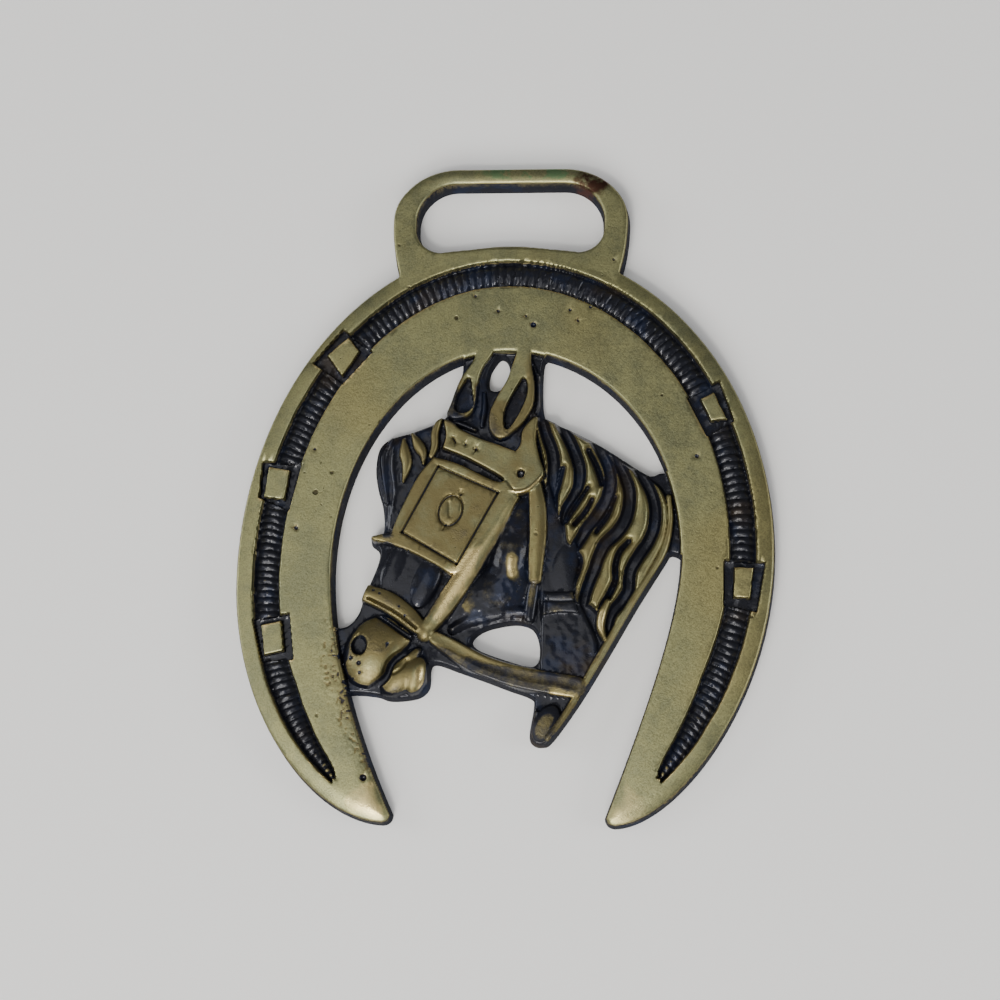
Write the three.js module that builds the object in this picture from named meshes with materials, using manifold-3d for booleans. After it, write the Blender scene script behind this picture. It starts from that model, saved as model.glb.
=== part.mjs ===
// A cast horse brass: a horseshoe with a corded groove and five nail heads, a strap loop above it, and
// inside it the head of a bridled heavy horse, facing left. It is one casting and lies on its flat back.
// Millimetres, +Z up, the origin in the middle of the back: +X to the viewer's right, +Y towards the loop.

import * as THREE from "three";
import { mergeVertices } from "three/addons/utils/BufferGeometryUtils.js";
import Module from "manifold-3d";

const wasm = await Module();
wasm.setup();

// Driving dimensions of the casting
const HALF_WIDTH = 35; // horseshoe, at its widest
const SHOE_HEIGHT = 77; // horseshoe, from the legs' ends to the top of the arch
const LOOP_RISE = 11; // strap loop, above the arch
const ARCH_WIDTH = 15; // band of the horseshoe, at the top of the arch
const FACE = 3; // thickness, and height of the polished face
const DRAFT = 0.3; // how far each wall leans in on its way up from the back
const EDGE_BEVEL = 0.5; // worn outer edge of the face

// The horseshoe's edges. Its own heights count from the legs' ends
const WIDEST_RISE = { left: 32, right: 35.5 }; // widest points of the outer edge
const OPENING_HALF = { left: 22.1, right: 22.8 }; // opening, from the middle line
const OPENING_WIDEST_RISE = { left: 32.5, right: 35 };
const TIP_X = 13.4; // inner corner of each leg's end
const TIP_WIDTH = 1.3; // rounded end of each leg, across and up

// The corded groove and the nail heads in it
const GROOVE_LIP = 2.6; // land outside the groove
const GROOVE_WIDTH = 3.2;
const GROOVE_DEPTH = 1.05;
const GROOVE_CROWN = 0.4; // rise of the cord-like band in the middle of the groove
const GROOVE_END = 9; // land along the outer edge from the leg's end to the groove
const GROOVE_TAPER = 15;
const NAIL = { length: 3.9, width: 2.6, boxLength: 5.6, boxWidth: 4.8 };
const NAILS_RISE = { left: [61.4, 44.1, 23.5], right: [54, 31] };

// The strap loop
const LOOP_HALF = 16;
const LOOP_CORNER = { across: 9, down: 7.7 }; // round corners of the loop
const LOOP_FOOT_HALF = 15; // where the loop grows out of the arch
const LOOP_FOOT_DROP = 4; // loop's foot, below the top of the arch
const BAR_WIDTH = 2.7; // loop's bar, above the slot
const SLOT_HALF = 12.4;
const SLOT_DROP = 0.9; // slot's lower edge, below the top of the arch
const SLOT_CORNER = { upper: 5.2, lower: 3.2 };
const SLOT_CROWN = 0.6; // rise of the slot's lower edge in the middle

// Heights that follow: 0 is half way up the whole casting
const TIP_Y = -(SHOE_HEIGHT + LOOP_RISE) / 2;
const ARCH_Y = TIP_Y + SHOE_HEIGHT;
const LOOP_TOP_Y = ARCH_Y + LOOP_RISE;
const OPENING_TOP_Y = ARCH_Y - ARCH_WIDTH;
const WIDEST_Y = { left: TIP_Y + WIDEST_RISE.left, right: TIP_Y + WIDEST_RISE.right };
const OPENING_WIDEST_Y = { left: TIP_Y + OPENING_WIDEST_RISE.left, right: TIP_Y + OPENING_WIDEST_RISE.right };
const LOOP_SHOULDER_Y = LOOP_TOP_Y - LOOP_CORNER.down;
const LOOP_FOOT_Y = ARCH_Y - LOOP_FOOT_DROP;
const SLOT_TOP_Y = LOOP_TOP_Y - BAR_WIDTH;
const SLOT_BOTTOM_Y = ARCH_Y - SLOT_DROP;

// Levels of the head's relief, from the back
const GROUND = FACE - 1.25; // floor between the carved forms
const LOCK_TOP = FACE; // polished crowns of the mane
const STRAP_TOP = FACE + 0.25;
const MUZZLE_TOP = FACE + 1;
const CHEEK_TOP = FACE + 0.5;

// Points of the head are in millimetres from the middle of the brass, at a head this tall
const HEAD_DRAWN = 52;
const HEAD_HEIGHT = 52;
const HEAD_TOP_Y = OPENING_TOP_Y; // the ears' tips end at the arch
const BRASS_COLOUR = 0x8a8052;

const CURVE_STEPS = 16;
const GROOVE_STEPS = 90;
const CORNER = "corner";

const headScale = HEAD_HEIGHT / HEAD_DRAWN;

/** A point of the head's drawing on the brass. The drawing hangs from the ears' tips. */
function onHead([x, y, ...more]) {
  return [x * headScale, HEAD_TOP_Y + (y - 18) * headScale, ...more];
}

/** A closed geometry as a solid. */
function solid(geometry) {
  const bare = new THREE.BufferGeometry();
  bare.setAttribute("position", geometry.getAttribute("position").clone());
  if (geometry.index) bare.setIndex(geometry.index.clone());
  const merged = mergeVertices(bare, 1e-4);
  return new wasm.Manifold(
    new wasm.Mesh({
      numProp: 3,
      vertProperties: new Float32Array(merged.attributes.position.array),
      triVerts: new Uint32Array(merged.index.array),
    }),
  );
}

/** All the solids joined. */
function join(solids) {
  return solids.reduce((whole, next) => whole.add(next));
}

/** The outline without repeated points, counter-clockwise. */
function tidy(outline) {
  const kept = outline.filter((p, i) => p.distanceTo(outline[(i + 1) % outline.length]) > 1e-3);
  return THREE.ShapeUtils.isClockWise(kept) ? kept.reverse() : kept;
}

/** A smooth closed outline through points, sharp at those marked as corners: [x, y, CORNER]. */
function smooth(points, stepsPerPoint = 3) {
  const through = points.map(([x, y]) => new THREE.Vector3(x, y, 0));
  const first = points.findIndex((p) => p[2] === CORNER);
  const outline = [];
  if (first < 0) {
    const ring = new THREE.CatmullRomCurve3(through, true, "catmullrom", 0.5);
    outline.push(...ring.getPoints(points.length * stepsPerPoint));
  } else {
    let run = [through[first]];
    for (let i = 1; i <= points.length; i += 1) {
      const at = (first + i) % points.length;
      run.push(through[at]);
      if (points[at][2] !== CORNER) continue;
      const side = new THREE.CatmullRomCurve3(run, false, "catmullrom", 0.5);
      outline.push(...(run.length === 2 ? run : side.getPoints((run.length - 1) * stepsPerPoint)));
      run = [through[at]];
    }
  }
  return tidy(outline.map((p) => new THREE.Vector2(p.x, p.y)));
}

/** The outline moved in by a distance, each corner along its bisector. */
function inset(outline, distance) {
  const count = outline.length;
  return outline.map((p, i) => {
    const before = new THREE.Vector2().subVectors(p, outline[(i + count - 1) % count]).normalize();
    const after = new THREE.Vector2().subVectors(outline[(i + 1) % count], p).normalize();
    const along = before.clone().add(after).normalize();
    const stretch = 1 / Math.max(0.5, along.dot(after));
    return new THREE.Vector2(p.x - along.y * distance * stretch, p.y + along.x * distance * stretch);
  });
}

/** A solid through outlines with equal numbers of points, each at its own height. */
function stack(levels) {
  const count = levels[0].outline.length;
  const positions = [];
  const index = [];
  for (const { outline, z } of levels) {
    for (const p of outline) positions.push(p.x, p.y, z);
  }
  for (let level = 0; level + 1 < levels.length; level += 1) {
    for (let i = 0; i < count; i += 1) {
      const a = level * count + i;
      const b = level * count + ((i + 1) % count);
      index.push(a, b, b + count, a, b + count, a + count);
    }
  }
  const top = (levels.length - 1) * count;
  for (const [a, b, c] of THREE.ShapeUtils.triangulateShape(levels[0].outline, [])) index.push(c, b, a);
  for (const [a, b, c] of THREE.ShapeUtils.triangulateShape(levels[levels.length - 1].outline, [])) {
    index.push(top + a, top + b, top + c);
  }
  const geometry = new THREE.BufferGeometry();
  geometry.setAttribute("position", new THREE.Float32BufferAttribute(positions, 3));
  geometry.setIndex(index);
  return solid(geometry);
}

/** A raised flat form of the head, from the back up to a height, with leaning walls. */
function pad(points, top, lean = 0.2, stepsPerPoint = 2) {
  const outline = smooth(points.map(onHead), stepsPerPoint);
  return stack([
    { outline, z: 0 },
    { outline, z: top - 4 * lean > 0 ? top - 4 * lean : top / 2 },
    { outline: inset(outline, lean), z: top },
  ]);
}

/** A solid swept along a smooth line of [x, y, width] points; its section is in [share of width, height]. */
function sweep(points, section, stepsPerPoint = 2) {
  const through = points.map(([x, y, width]) => new THREE.Vector3(...onHead([x, y, width * headScale])));
  const curve = new THREE.CatmullRomCurve3(through, false, "catmullrom", 0.5);
  const stations = curve.getPoints((points.length - 1) * stepsPerPoint);
  return loft(
    stations.map((p, i) => {
      const a = stations[Math.max(0, i - 1)];
      const b = stations[Math.min(stations.length - 1, i + 1)];
      const along = new THREE.Vector2(b.x - a.x, b.y - a.y).normalize();
      return section.map(([side, z]) => [p.x + along.y * side * p.z, p.y - along.x * side * p.z, z]);
    }),
  );
}

/** A raised strip with a crowned top: a lock of hair, a strap or a rein. */
function strip(points, top, fall = 0.3) {
  return sweep(points, [
    [-0.5, 0.4], [0.5, 0.4],
    [0.5, top - 3 * fall],
    [0.34, top - 0.4 * fall],
    [0, top],
    [-0.34, top - 0.4 * fall],
    [-0.5, top - 3 * fall],
  ]);
}

/** What is cut for a slit with leaning walls, down to a floor. */
function slit(points, floor) {
  return sweep(points, [
    [-0.3, floor],
    [0.3, floor],
    [0.5, FACE + 1],
    [-0.5, FACE + 1],
  ]);
}

/** A solid through rings of points, counter-clockwise seen from its start, closed by fans at both ends. */
function loft(rings) {
  const count = rings[0].length;
  const index = [];
  for (let r = 0; r + 1 < rings.length; r += 1) {
    for (let i = 0; i < count; i += 1) {
      const a = r * count + i;
      const b = r * count + ((i + 1) % count);
      index.push(a, b + count, b, a, a + count, b + count);
    }
  }
  const last = (rings.length - 1) * count;
  for (let i = 1; i + 1 < count; i += 1) {
    index.push(0, i, i + 1);
    index.push(last, last + i + 1, last + i);
  }
  const geometry = new THREE.BufferGeometry();
  geometry.setAttribute("position", new THREE.Float32BufferAttribute(rings.flat(2), 3));
  geometry.setIndex(index);
  const made = solid(geometry);
  if (made.volume() > 0) return made;
  const turned = new THREE.BufferGeometry();
  turned.setAttribute("position", geometry.getAttribute("position"));
  turned.setIndex([...index].reverse());
  return solid(turned);
}

/** A rounded form of the head: the upper part of an ellipsoid whose long axis leans by an angle. */
function dome([x, y], angle, halfLength, halfWidth, top, depth) {
  const ball = new THREE.SphereGeometry(1, 18, 10);
  ball.rotateX(Math.PI / 2);
  ball.scale(halfLength * headScale, halfWidth * headScale, depth);
  ball.rotateZ(THREE.MathUtils.degToRad(angle));
  const [px, py] = onHead([x, y]);
  ball.translate(px, py, top - depth);
  return solid(ball);
}

/** The horseshoe's outer edge, moved in by a distance, from the left leg's end to the right leg's. */
function outerEdge(move = 0) {
  const half = HALF_WIDTH - move;
  const arch = ARCH_Y - move;
  const end = TIP_Y + move;
  const endX = TIP_X + TIP_WIDTH;
  const edge = new THREE.CurvePath();
  const leftLeg = [
    new THREE.Vector2(-endX - move, end),
    new THREE.Vector2(-endX - move - 9.5, end + 0.3),
    new THREE.Vector2(-half, WIDEST_Y.left - 18),
    new THREE.Vector2(-half, WIDEST_Y.left),
  ];
  const rightLeg = [
    new THREE.Vector2(half, WIDEST_Y.right),
    new THREE.Vector2(half, WIDEST_Y.right - 19),
    new THREE.Vector2(endX + move + 7.8, end + 0.3),
    new THREE.Vector2(endX + move, end),
  ];
  edge.add(new THREE.CubicBezierCurve(...leftLeg));
  edge.add(new THREE.EllipseCurve(0, WIDEST_Y.left, half, arch - WIDEST_Y.left, Math.PI, Math.PI / 2, true));
  edge.add(new THREE.EllipseCurve(0, WIDEST_Y.right, half, arch - WIDEST_Y.right, Math.PI / 2, 0, true));
  edge.add(new THREE.CubicBezierCurve(...rightLeg));
  return edge;
}

/** The edge of the horseshoe's opening, moved back from it by a distance, from the right leg's end. */
function openingEdge(move = 0) {
  const left = OPENING_HALF.left + move;
  const right = OPENING_HALF.right + move;
  const top = OPENING_TOP_Y + move;
  const end = TIP_Y + TIP_WIDTH + 1.5 * move;
  const edge = new THREE.CurvePath();
  const rightLeg = [
    new THREE.Vector2(TIP_X + move, end),
    new THREE.Vector2(TIP_X + 4.2 + move, end + 11.2),
    new THREE.Vector2(right, OPENING_WIDEST_Y.right - 8.5),
    new THREE.Vector2(right, OPENING_WIDEST_Y.right),
  ];
  const leftLeg = [
    new THREE.Vector2(-left, OPENING_WIDEST_Y.left),
    new THREE.Vector2(-left, OPENING_WIDEST_Y.left - 9.5),
    new THREE.Vector2(-TIP_X - 4.9 - move, end + 10),
    new THREE.Vector2(-TIP_X - move, end),
  ];
  const rise = { left: top - OPENING_WIDEST_Y.left, right: top - OPENING_WIDEST_Y.right };
  edge.add(new THREE.CubicBezierCurve(...rightLeg));
  edge.add(new THREE.EllipseCurve(0, OPENING_WIDEST_Y.right, right, rise.right, 0, Math.PI / 2, false));
  edge.add(new THREE.EllipseCurve(0, OPENING_WIDEST_Y.left, left, rise.left, Math.PI / 2, Math.PI, false));
  edge.add(new THREE.CubicBezierCurve(...leftLeg));
  return edge;
}

/** The rounded end of a leg between its two edges, from the outer one; side is -1 for the left leg. */
function legEnd(side, move) {
  const inner = TIP_X + move;
  return new THREE.QuadraticBezierCurve(
    new THREE.Vector2(side * (inner + TIP_WIDTH), TIP_Y + move),
    new THREE.Vector2(side * (inner + 0.1), TIP_Y + move + 0.1),
    new THREE.Vector2(side * inner, TIP_Y + TIP_WIDTH + 1.5 * move),
  ).getPoints(4);
}

/** The horseshoe's outline, moved in by a distance. */
function horseshoeOutline(move) {
  return tidy([
    ...outerEdge(move).getPoints(CURVE_STEPS),
    ...legEnd(1, move),
    ...openingEdge(move).getPoints(CURVE_STEPS),
    ...legEnd(-1, move).reverse(),
  ]);
}

/** The plain horseshoe plate with its worn edge. */
function horseshoe() {
  return stack([
    { outline: horseshoeOutline(0), z: 0 },
    { outline: horseshoeOutline(DRAFT), z: FACE - EDGE_BEVEL / 2 },
    { outline: horseshoeOutline(DRAFT + EDGE_BEVEL), z: FACE },
  ]);
}

/** Stations along the groove: its outer lip, the ways inward and along, and its width there. */
function grooveStations() {
  const edge = outerEdge();
  const length = edge.getLength();
  const stations = [];
  for (let i = 0; i <= GROOVE_STEPS; i += 1) {
    const s = GROOVE_END + ((length - 2 * GROOVE_END) * i) / GROOVE_STEPS;
    const p = edge.getPointAt(s / length);
    const ahead = edge.getPointAt((s + 0.4) / length);
    const behind = edge.getPointAt((s - 0.4) / length);
    const along = ahead.sub(behind).normalize();
    const inward = new THREE.Vector2(along.y, -along.x);
    const toEnd = Math.min(s, length - s) - GROOVE_END;
    const width = GROOVE_WIDTH * Math.min(1, 0.15 + 0.85 * Math.sqrt(Math.max(0, toEnd) / GROOVE_TAPER));
    const lip = p.clone().addScaledVector(inward, GROOVE_LIP);
    stations.push({ lip, inward, along, width });
  }
  return stations;
}

/** What is cut from the plate for the groove, leaving the low cord-like band on its floor. */
function grooveCut(stations) {
  const flare = 0.12;
  const floor = FACE - GROOVE_DEPTH;
  return loft(
    stations.map(({ lip, inward, width }) => {
      const across = (share, z) => {
        const p = lip.clone().addScaledVector(inward, width * share);
        return [p.x, p.y, z];
      };
      return [
        across(-flare, FACE + 1),
        across(0, floor),
        across(0.25, floor + 0.8 * GROOVE_CROWN),
        across(0.5, floor + GROOVE_CROWN),
        across(0.75, floor + 0.8 * GROOVE_CROWN),
        across(1, floor),
        across(1 + flare, FACE + 1),
      ];
    }),
  );
}

/** A block standing on a place of the groove, in line with it. */
function grooveBlock({ lip, inward, along, width }, length, breadth, low, high) {
  const middle = lip.clone().addScaledVector(inward, width / 2);
  const block = new THREE.BoxGeometry(length, breadth, high - low);
  block.rotateZ(Math.atan2(along.y, along.x));
  block.translate(middle.x, middle.y, (low + high) / 2);
  return solid(block);
}

/** The groove's station on one side at a height. */
function stationAt(stations, side, y) {
  const onSide = stations.filter(({ lip }) => Math.sign(lip.x) === side);
  return onSide.reduce((best, next) => (Math.abs(next.lip.y - y) < Math.abs(best.lip.y - y) ? next : best));
}

/** The groove, widened to a box around each nail head, whose flat top stays at the face. */
function grooveWithNails() {
  const stations = grooveStations();
  const nails = [
    ...NAILS_RISE.left.map((rise) => stationAt(stations, -1, TIP_Y + rise)),
    ...NAILS_RISE.right.map((rise) => stationAt(stations, 1, TIP_Y + rise)),
  ];
  const floor = FACE - GROOVE_DEPTH;
  const boxes = nails.map((at) => grooveBlock(at, NAIL.boxLength, NAIL.boxWidth, floor, FACE + 1));
  const heads = nails.map((at) => grooveBlock(at, NAIL.length, NAIL.width, floor - 1, FACE + 2));
  return join([grooveCut(stations), ...boxes]).subtract(join(heads));
}

/** The strap loop's outline, moved in by a distance. */
function loopOutline(move) {
  const half = LOOP_HALF - move;
  const top = LOOP_TOP_Y - move;
  const foot = LOOP_FOOT_HALF - move;
  const inside = LOOP_FOOT_Y - 4;
  const shape = new THREE.Shape();
  shape.moveTo(-foot, inside);
  shape.lineTo(foot, inside);
  shape.lineTo(foot, LOOP_FOOT_Y);
  shape.quadraticCurveTo(half, LOOP_FOOT_Y + 3.5, half, LOOP_SHOULDER_Y);
  const across = LOOP_CORNER.across;
  const rise = top - LOOP_SHOULDER_Y;
  shape.absellipse(half - across, LOOP_SHOULDER_Y, across, rise, 0, Math.PI / 2, false);
  shape.absellipse(-half + across, LOOP_SHOULDER_Y, across, rise, Math.PI / 2, Math.PI, false);
  shape.quadraticCurveTo(-half, LOOP_FOOT_Y + 3.5, -foot, LOOP_FOOT_Y);
  return tidy(shape.getPoints(CURVE_STEPS / 2));
}

/** The slot's outline, moved out by a distance. */
function slotOutline(move) {
  const half = SLOT_HALF + move;
  const top = SLOT_TOP_Y + move;
  const bottom = SLOT_BOTTOM_Y - move;
  const corner = Math.min(SLOT_CORNER.upper, 0.6 * (top - bottom));
  const low = Math.min(SLOT_CORNER.lower, 0.38 * (top - bottom));
  const shape = new THREE.Shape();
  shape.moveTo(-half + low, bottom);
  shape.quadraticCurveTo(0, bottom + 2 * SLOT_CROWN, half - low, bottom);
  shape.absellipse(half - low, bottom + low, low, low, -Math.PI / 2, 0, false);
  shape.absellipse(half - corner, top - corner, corner, corner, 0, Math.PI / 2, false);
  shape.absellipse(-half + corner, top - corner, corner, corner, Math.PI / 2, Math.PI, false);
  shape.absellipse(-half + low, bottom + low, low, low, Math.PI, 1.5 * Math.PI, false);
  return tidy(shape.getPoints(CURVE_STEPS / 2));
}

/** The strap loop with its slot still closed. */
function loop() {
  return stack([
    { outline: loopOutline(0), z: 0 },
    { outline: loopOutline(DRAFT), z: FACE - EDGE_BEVEL / 2 },
    { outline: loopOutline(DRAFT + EDGE_BEVEL), z: FACE },
  ]);
}

/** What is cut from the loop for the strap: square walls with a worn edge at the face. */
function slotCut() {
  return stack([
    { outline: slotOutline(0), z: -1 },
    { outline: slotOutline(0), z: FACE - EDGE_BEVEL },
    { outline: slotOutline(EDGE_BEVEL), z: FACE },
    { outline: slotOutline(EDGE_BEVEL), z: FACE + 1 },
  ]);
}

/** The head's ground: its whole outline, running in under the horseshoe at the ears, muzzle and mane. */
function headGround() {
  const outline = [
    [-4.6, 20], [-6.2, 15.4], [-7, 12.6], [-7.9, 10], [-8.8, 9], [-12.5, 7.4], [-15.2, 6.6], [-16.8, 5.2],
    [-17.3, 2.6], [-16.9, -0.2], [-16.1, -3], [-16, -6.2], [-17.4, -6.9], [-17.4, -7.8], [-16.4, -8.8],
    [-16.6, -10.8], [-18.2, -14.8], [-18.9, -17], [-20.4, -18.6], [-24, -19.5], [-24, -28],
    [-19.4, -27.5], [-16, -27.7], [-14.3, -28.2], [-12, -28.1], [-10.2, -27.6], [-9.2, -26.4],
    [-9.1, -24], [-8.2, -23.5], [-5.5, -24.4], [-2, -25.6], [1, -26.7], [3.8, -27.7], [4.2, -28.7],
    [3.7, -32.4], [4.2, -33.6], [5.4, -33.9], [6.8, -33.1], [10.3, -28.1], [13.9, -22], [17.3, -16],
    [20.8, -10.3], [21.8, -9], [24.6, -9.2], [24.6, 1.4], [20.6, 2], [19.2, 1.6], [17.8, 2.2], [12, 5.9],
    [6, 8.9], [5, 9.6], [4.7, 12], [4.8, 16.4], [5.5, 17.5], [7, 20],
  ];
  const jaw = [
    [-3.8, -20.3], [-2.4, -19.1], [0, -18.4], [2.2, -18.2], [3.9, -18.8], [4.7, -20.4], [4.8, -22.4],
    [4.2, -23.4], [2.8, -23.4], [0.4, -22.7], [-2, -21.9], [-3.4, -21.2],
  ];
  const betweenEars = [
    [-1.1, 17.4], [-0.2, 17.2], [0.2, 16], [-0.2, 14.2], [-1.3, 13.1], [-2.4, 13.6], [-2.3, 15.5],
  ];
  const ground = smooth(outline.map(onHead), 2);
  const slab = stack([
    { outline: ground, z: 0 },
    { outline: inset(ground, DRAFT), z: GROUND },
  ]);
  return { slab, holes: [jaw, betweenEars].map(throughHole) };
}

/** What is cut for a hole through the head, wider at the front. */
function throughHole(points) {
  const outline = smooth(points.map(onHead), 2);
  return stack([
    { outline, z: -1 },
    { outline, z: 0.2 },
    { outline: inset(outline, -DRAFT), z: FACE + 3 },
  ]);
}

/** The mane: a raised field with a flat polished face, parted into wavy locks by slits. */
function mane() {
  const field = [
    [4, 8.9], [5.4, 9], [8.5, 7.5], [12.2, 5.3], [15.5, 2.9], [18.6, 1], [20.4, -0.2], [21.3, -2.6],
    [21.3, -5.6], [20.4, -8.6], [17.4, -14], [13.8, -20.6, CORNER], [12.5, -19.6], [11.8, -17],
    [10.4, -16], [9.3, -15.6], [9.3, -13.4], [10.2, -10.4], [9.6, -8.8], [8.1, -7.6], [7.8, -5.4],
    [6.8, -3.8], [5.9, -1.6], [4.8, 1], [4.1, 4], [3.6, 7.4],
  ];
  const slits = [
    [[3.5, 7.6, 0.6], [4.3, 4.6, 0.8], [4.9, 1, 0.8]],
    [[4.8, 9.2, 0.9], [5.4, 6.6, 1.1], [6.3, 3.6, 1.3], [6.4, 0.2, 1.4], [6, -3, 1.4], [6, -5.4, 1.2]],
    [[7.2, 8.2, 1.1], [8.8, 5.4, 1.1], [9.8, 2.2, 1.3], [9.5, -0.8, 1.1], [8, -3, 0.7], [7.5, -5, 0.5]],
    [[7.6, 2.2, 0.4], [7.4, 0.6, 0.7], [6.6, -1, 0.5]],
    [[10.8, 4.6, 0.5], [12, 2.4, 0.5], [12.8, 0, 0.5]],
    [[11.6, 6, 1.1], [13.4, 3.2, 1.1], [13.9, 0.4, 1.2], [13.4, -2.4, 1.3], [11.4, -5, 1.3],
      [10.1, -7.2, 1.2], [8.6, -9, 0.9]],
    [[10.8, -0.6, 0.3], [9.6, -2.8, 0.4], [8.2, -4.8, 0.3]],
    [[14.2, 4.4, 1.1], [16, 0.6, 1.2], [16.3, -2.8, 1.3], [14.9, -6.2, 1.3], [12.8, -8.8, 1.3],
      [11.8, -11.4, 1.2], [10.6, -14.4, 1.1], [10.5, -17.4, 0.9]],
    [[16.3, -7.4, 0.3], [14.7, -9.8, 0.5], [14.5, -12.4, 0.5], [12.9, -15.8, 0.5], [12.2, -18.8, 0.5]],
    [[17.4, 2, 1], [19.3, -1.6, 1.1], [19.6, -5, 1.2], [17.8, -9, 1.2], [16.3, -12, 1.2], [15.4, -15.2, 1.1],
      [13.9, -17.4, 1], [13.6, -20, 0.8]],
  ];
  return pad(field, LOCK_TOP, 0.25).subtract(join(slits.map((points) => slit(points, GROUND))));
}

/** The ridge along the back of the neck, down to the stub below the rein. */
function backOfNeck() {
  const ridge = [
    [20.9, -7.4, 0.9], [19.8, -10, 1.1], [17.6, -13.4, 1.2], [15.5, -16.9, 1.2], [13.5, -20.5, 1.2],
    [11.6, -23.9, 1.2], [9.4, -27.9, 1.2], [7.5, -31, 1.1], [5.8, -32.7, 0.9],
  ];
  return strip(ridge, FACE, 0.25);
}

/** The forelock in front of the browband: a soft mass with three locks. */
function forelock() {
  const mass = [
    [-9.4, 8.2], [-13.5, 6.4], [-16.2, 4.6], [-16.4, 1.6], [-15.4, -2.2], [-15.2, -6], [-13.6, -5],
    [-10.6, 1], [-9, 5],
  ];
  const locks = [
    [[-13.4, 5.6, 0.5], [-13.3, 3.8, 1.5], [-13.1, 2, 1.4], [-13.5, 0, 0.3]],
    [[-12.1, 6.6, 0.4], [-11.4, 5, 1.5], [-10.9, 3.9, 1.2], [-10.7, 2.6, 0.4]],
    [[-8.9, 8.6, 0.7], [-9.5, 6.8, 0.9], [-9.4, 4.4, 0.8]],
    [[-15.2, 6, 0.6], [-16, 3.6, 1.1], [-15.6, 0.4, 0.9], [-15.3, -3.4, 0.5]],
  ];
  const tops = [LOCK_TOP, LOCK_TOP, LOCK_TOP, LOCK_TOP - 0.5];
  return [pad(mass, GROUND + 0.35), ...locks.map((points, i) => strip(points, tops[i]))];
}

/** Both ears, with flat rims that run into the arch, and the hollows in them. */
function ears() {
  const near = [
    [1.4, 19.5], [1, 17.4], [0.2, 15], [-1.4, 12], [-2.2, 9], [-2, 7.4], [-0.9, 6.2], [0.6, 6.9],
    [2.4, 8.8], [3.5, 11], [3.5, 14], [3.1, 16.6], [3.3, 19.5],
  ];
  const far = [
    [-4.4, 19.5], [-5.6, 16], [-7, 12.4], [-7.8, 9.6], [-6.4, 8.8], [-4.4, 9.6], [-3.9, 12.4],
    [-3.4, 15.4], [-1.8, 18], [-2, 19.5],
  ];
  const hollows = [
    [[2.2, 14.4], [1.1, 13.2], [0, 11], [-0.3, 9], [0.4, 7.4], [1.4, 8.4], [2.3, 10.8], [2.7, 13.4]],
    [[-5, 15], [-5.9, 13], [-6.8, 10.9], [-6.2, 9.5], [-4.9, 9.6], [-4.4, 11.4]],
  ];
  const rims = join([pad(near, FACE, 0.15), pad(far, FACE - 0.05, 0.15)]);
  const cuts = hollows.map((points) => {
    const outline = smooth(points.map(onHead), 2);
    return stack([
      { outline: inset(outline, 0.3), z: GROUND + 0.1 },
      { outline, z: FACE + 1 },
    ]);
  });
  return rims.subtract(join(cuts));
}

/** The browband with its three dents, and the rosette where the straps meet. */
function browband() {
  const band = [
    [-7.9, 8.7], [-6.6, 8.4], [-6, 7.5], [-4, 6.3], [0, 4.7], [1.5, 4.4, CORNER], [2, 6.6], [3, 8.4],
    [4.4, 9.1], [4, 7.6], [4.3, 4.6], [5, 1.6], [3.6, -0.4], [1.4, -0.9], [-0.4, 0.9], [-1, 1.9],
    [-8.3, 4.9, CORNER],
  ];
  const dents = [[-6.7, 5.8], [-5.2, 5.3], [-3.8, 4.6]].map((at) => {
    const dent = new THREE.ConeGeometry(0.32, 0.8, 4);
    dent.rotateX(-Math.PI / 2);
    const [x, y] = onHead(at);
    dent.translate(x, y, FACE + 0.1);
    return solid(dent);
  });
  const eye = new THREE.CylinderGeometry(0.5 * headScale, 0.4 * headScale, 1.2, 12);
  eye.rotateX(Math.PI / 2);
  const [x, y] = onHead([2.1, 1.6]);
  eye.translate(x, y, STRAP_TOP);
  return pad(band, FACE + 0.1, 0.15).subtract(join([...dents, solid(eye)]));
}

/** The blinker: a flat plate with an engraved frame and a small oval ornament. */
function blinker() {
  const plate = [
    [-9, 3.9, CORNER], [-7.4, 3.2], [-0.9, -0.1], [0.5, 0.2, CORNER], [1.4, -2.2, CORNER], [-3.4, -11.2],
    [-6.7, -11.9, CORNER], [-12.8, -8.4], [-15.2, -7.5], [-17.1, -7.3], [-17, -6.8],
    [-14.4, -6.6, CORNER], [-12.6, -2.6],
  ];
  const frame = [[-8.7, 2.3], [-0.8, -1.2], [-5.9, -10.7], [-13.2, -6.5]];
  const lines = frame.map((from, i) => {
    const to = frame[(i + 1) % frame.length];
    return engraved([from, to].map(onHead), 0.34);
  });
  const oval = [];
  const turns = 16;
  for (let i = 0; i <= turns; i += 1) {
    const angle = (2 * Math.PI * i) / turns;
    const lean = THREE.MathUtils.degToRad(-22);
    const at = new THREE.Vector2(1.5 * Math.cos(angle), 2.15 * Math.sin(angle));
    at.rotateAround(new THREE.Vector2(), lean);
    oval.push(onHead([at.x - 7, at.y - 3.5]));
  }
  const knob = new THREE.CylinderGeometry(0.55 * headScale, 0.35 * headScale, 0.6, 10);
  knob.rotateX(Math.PI / 2);
  const [x, y] = onHead([-5.6, -1.2]);
  knob.translate(x, y, STRAP_TOP);
  return pad(plate, STRAP_TOP, 0.15).subtract(join([...lines, engraved(oval, 0.36), solid(knob)]));
}

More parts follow.
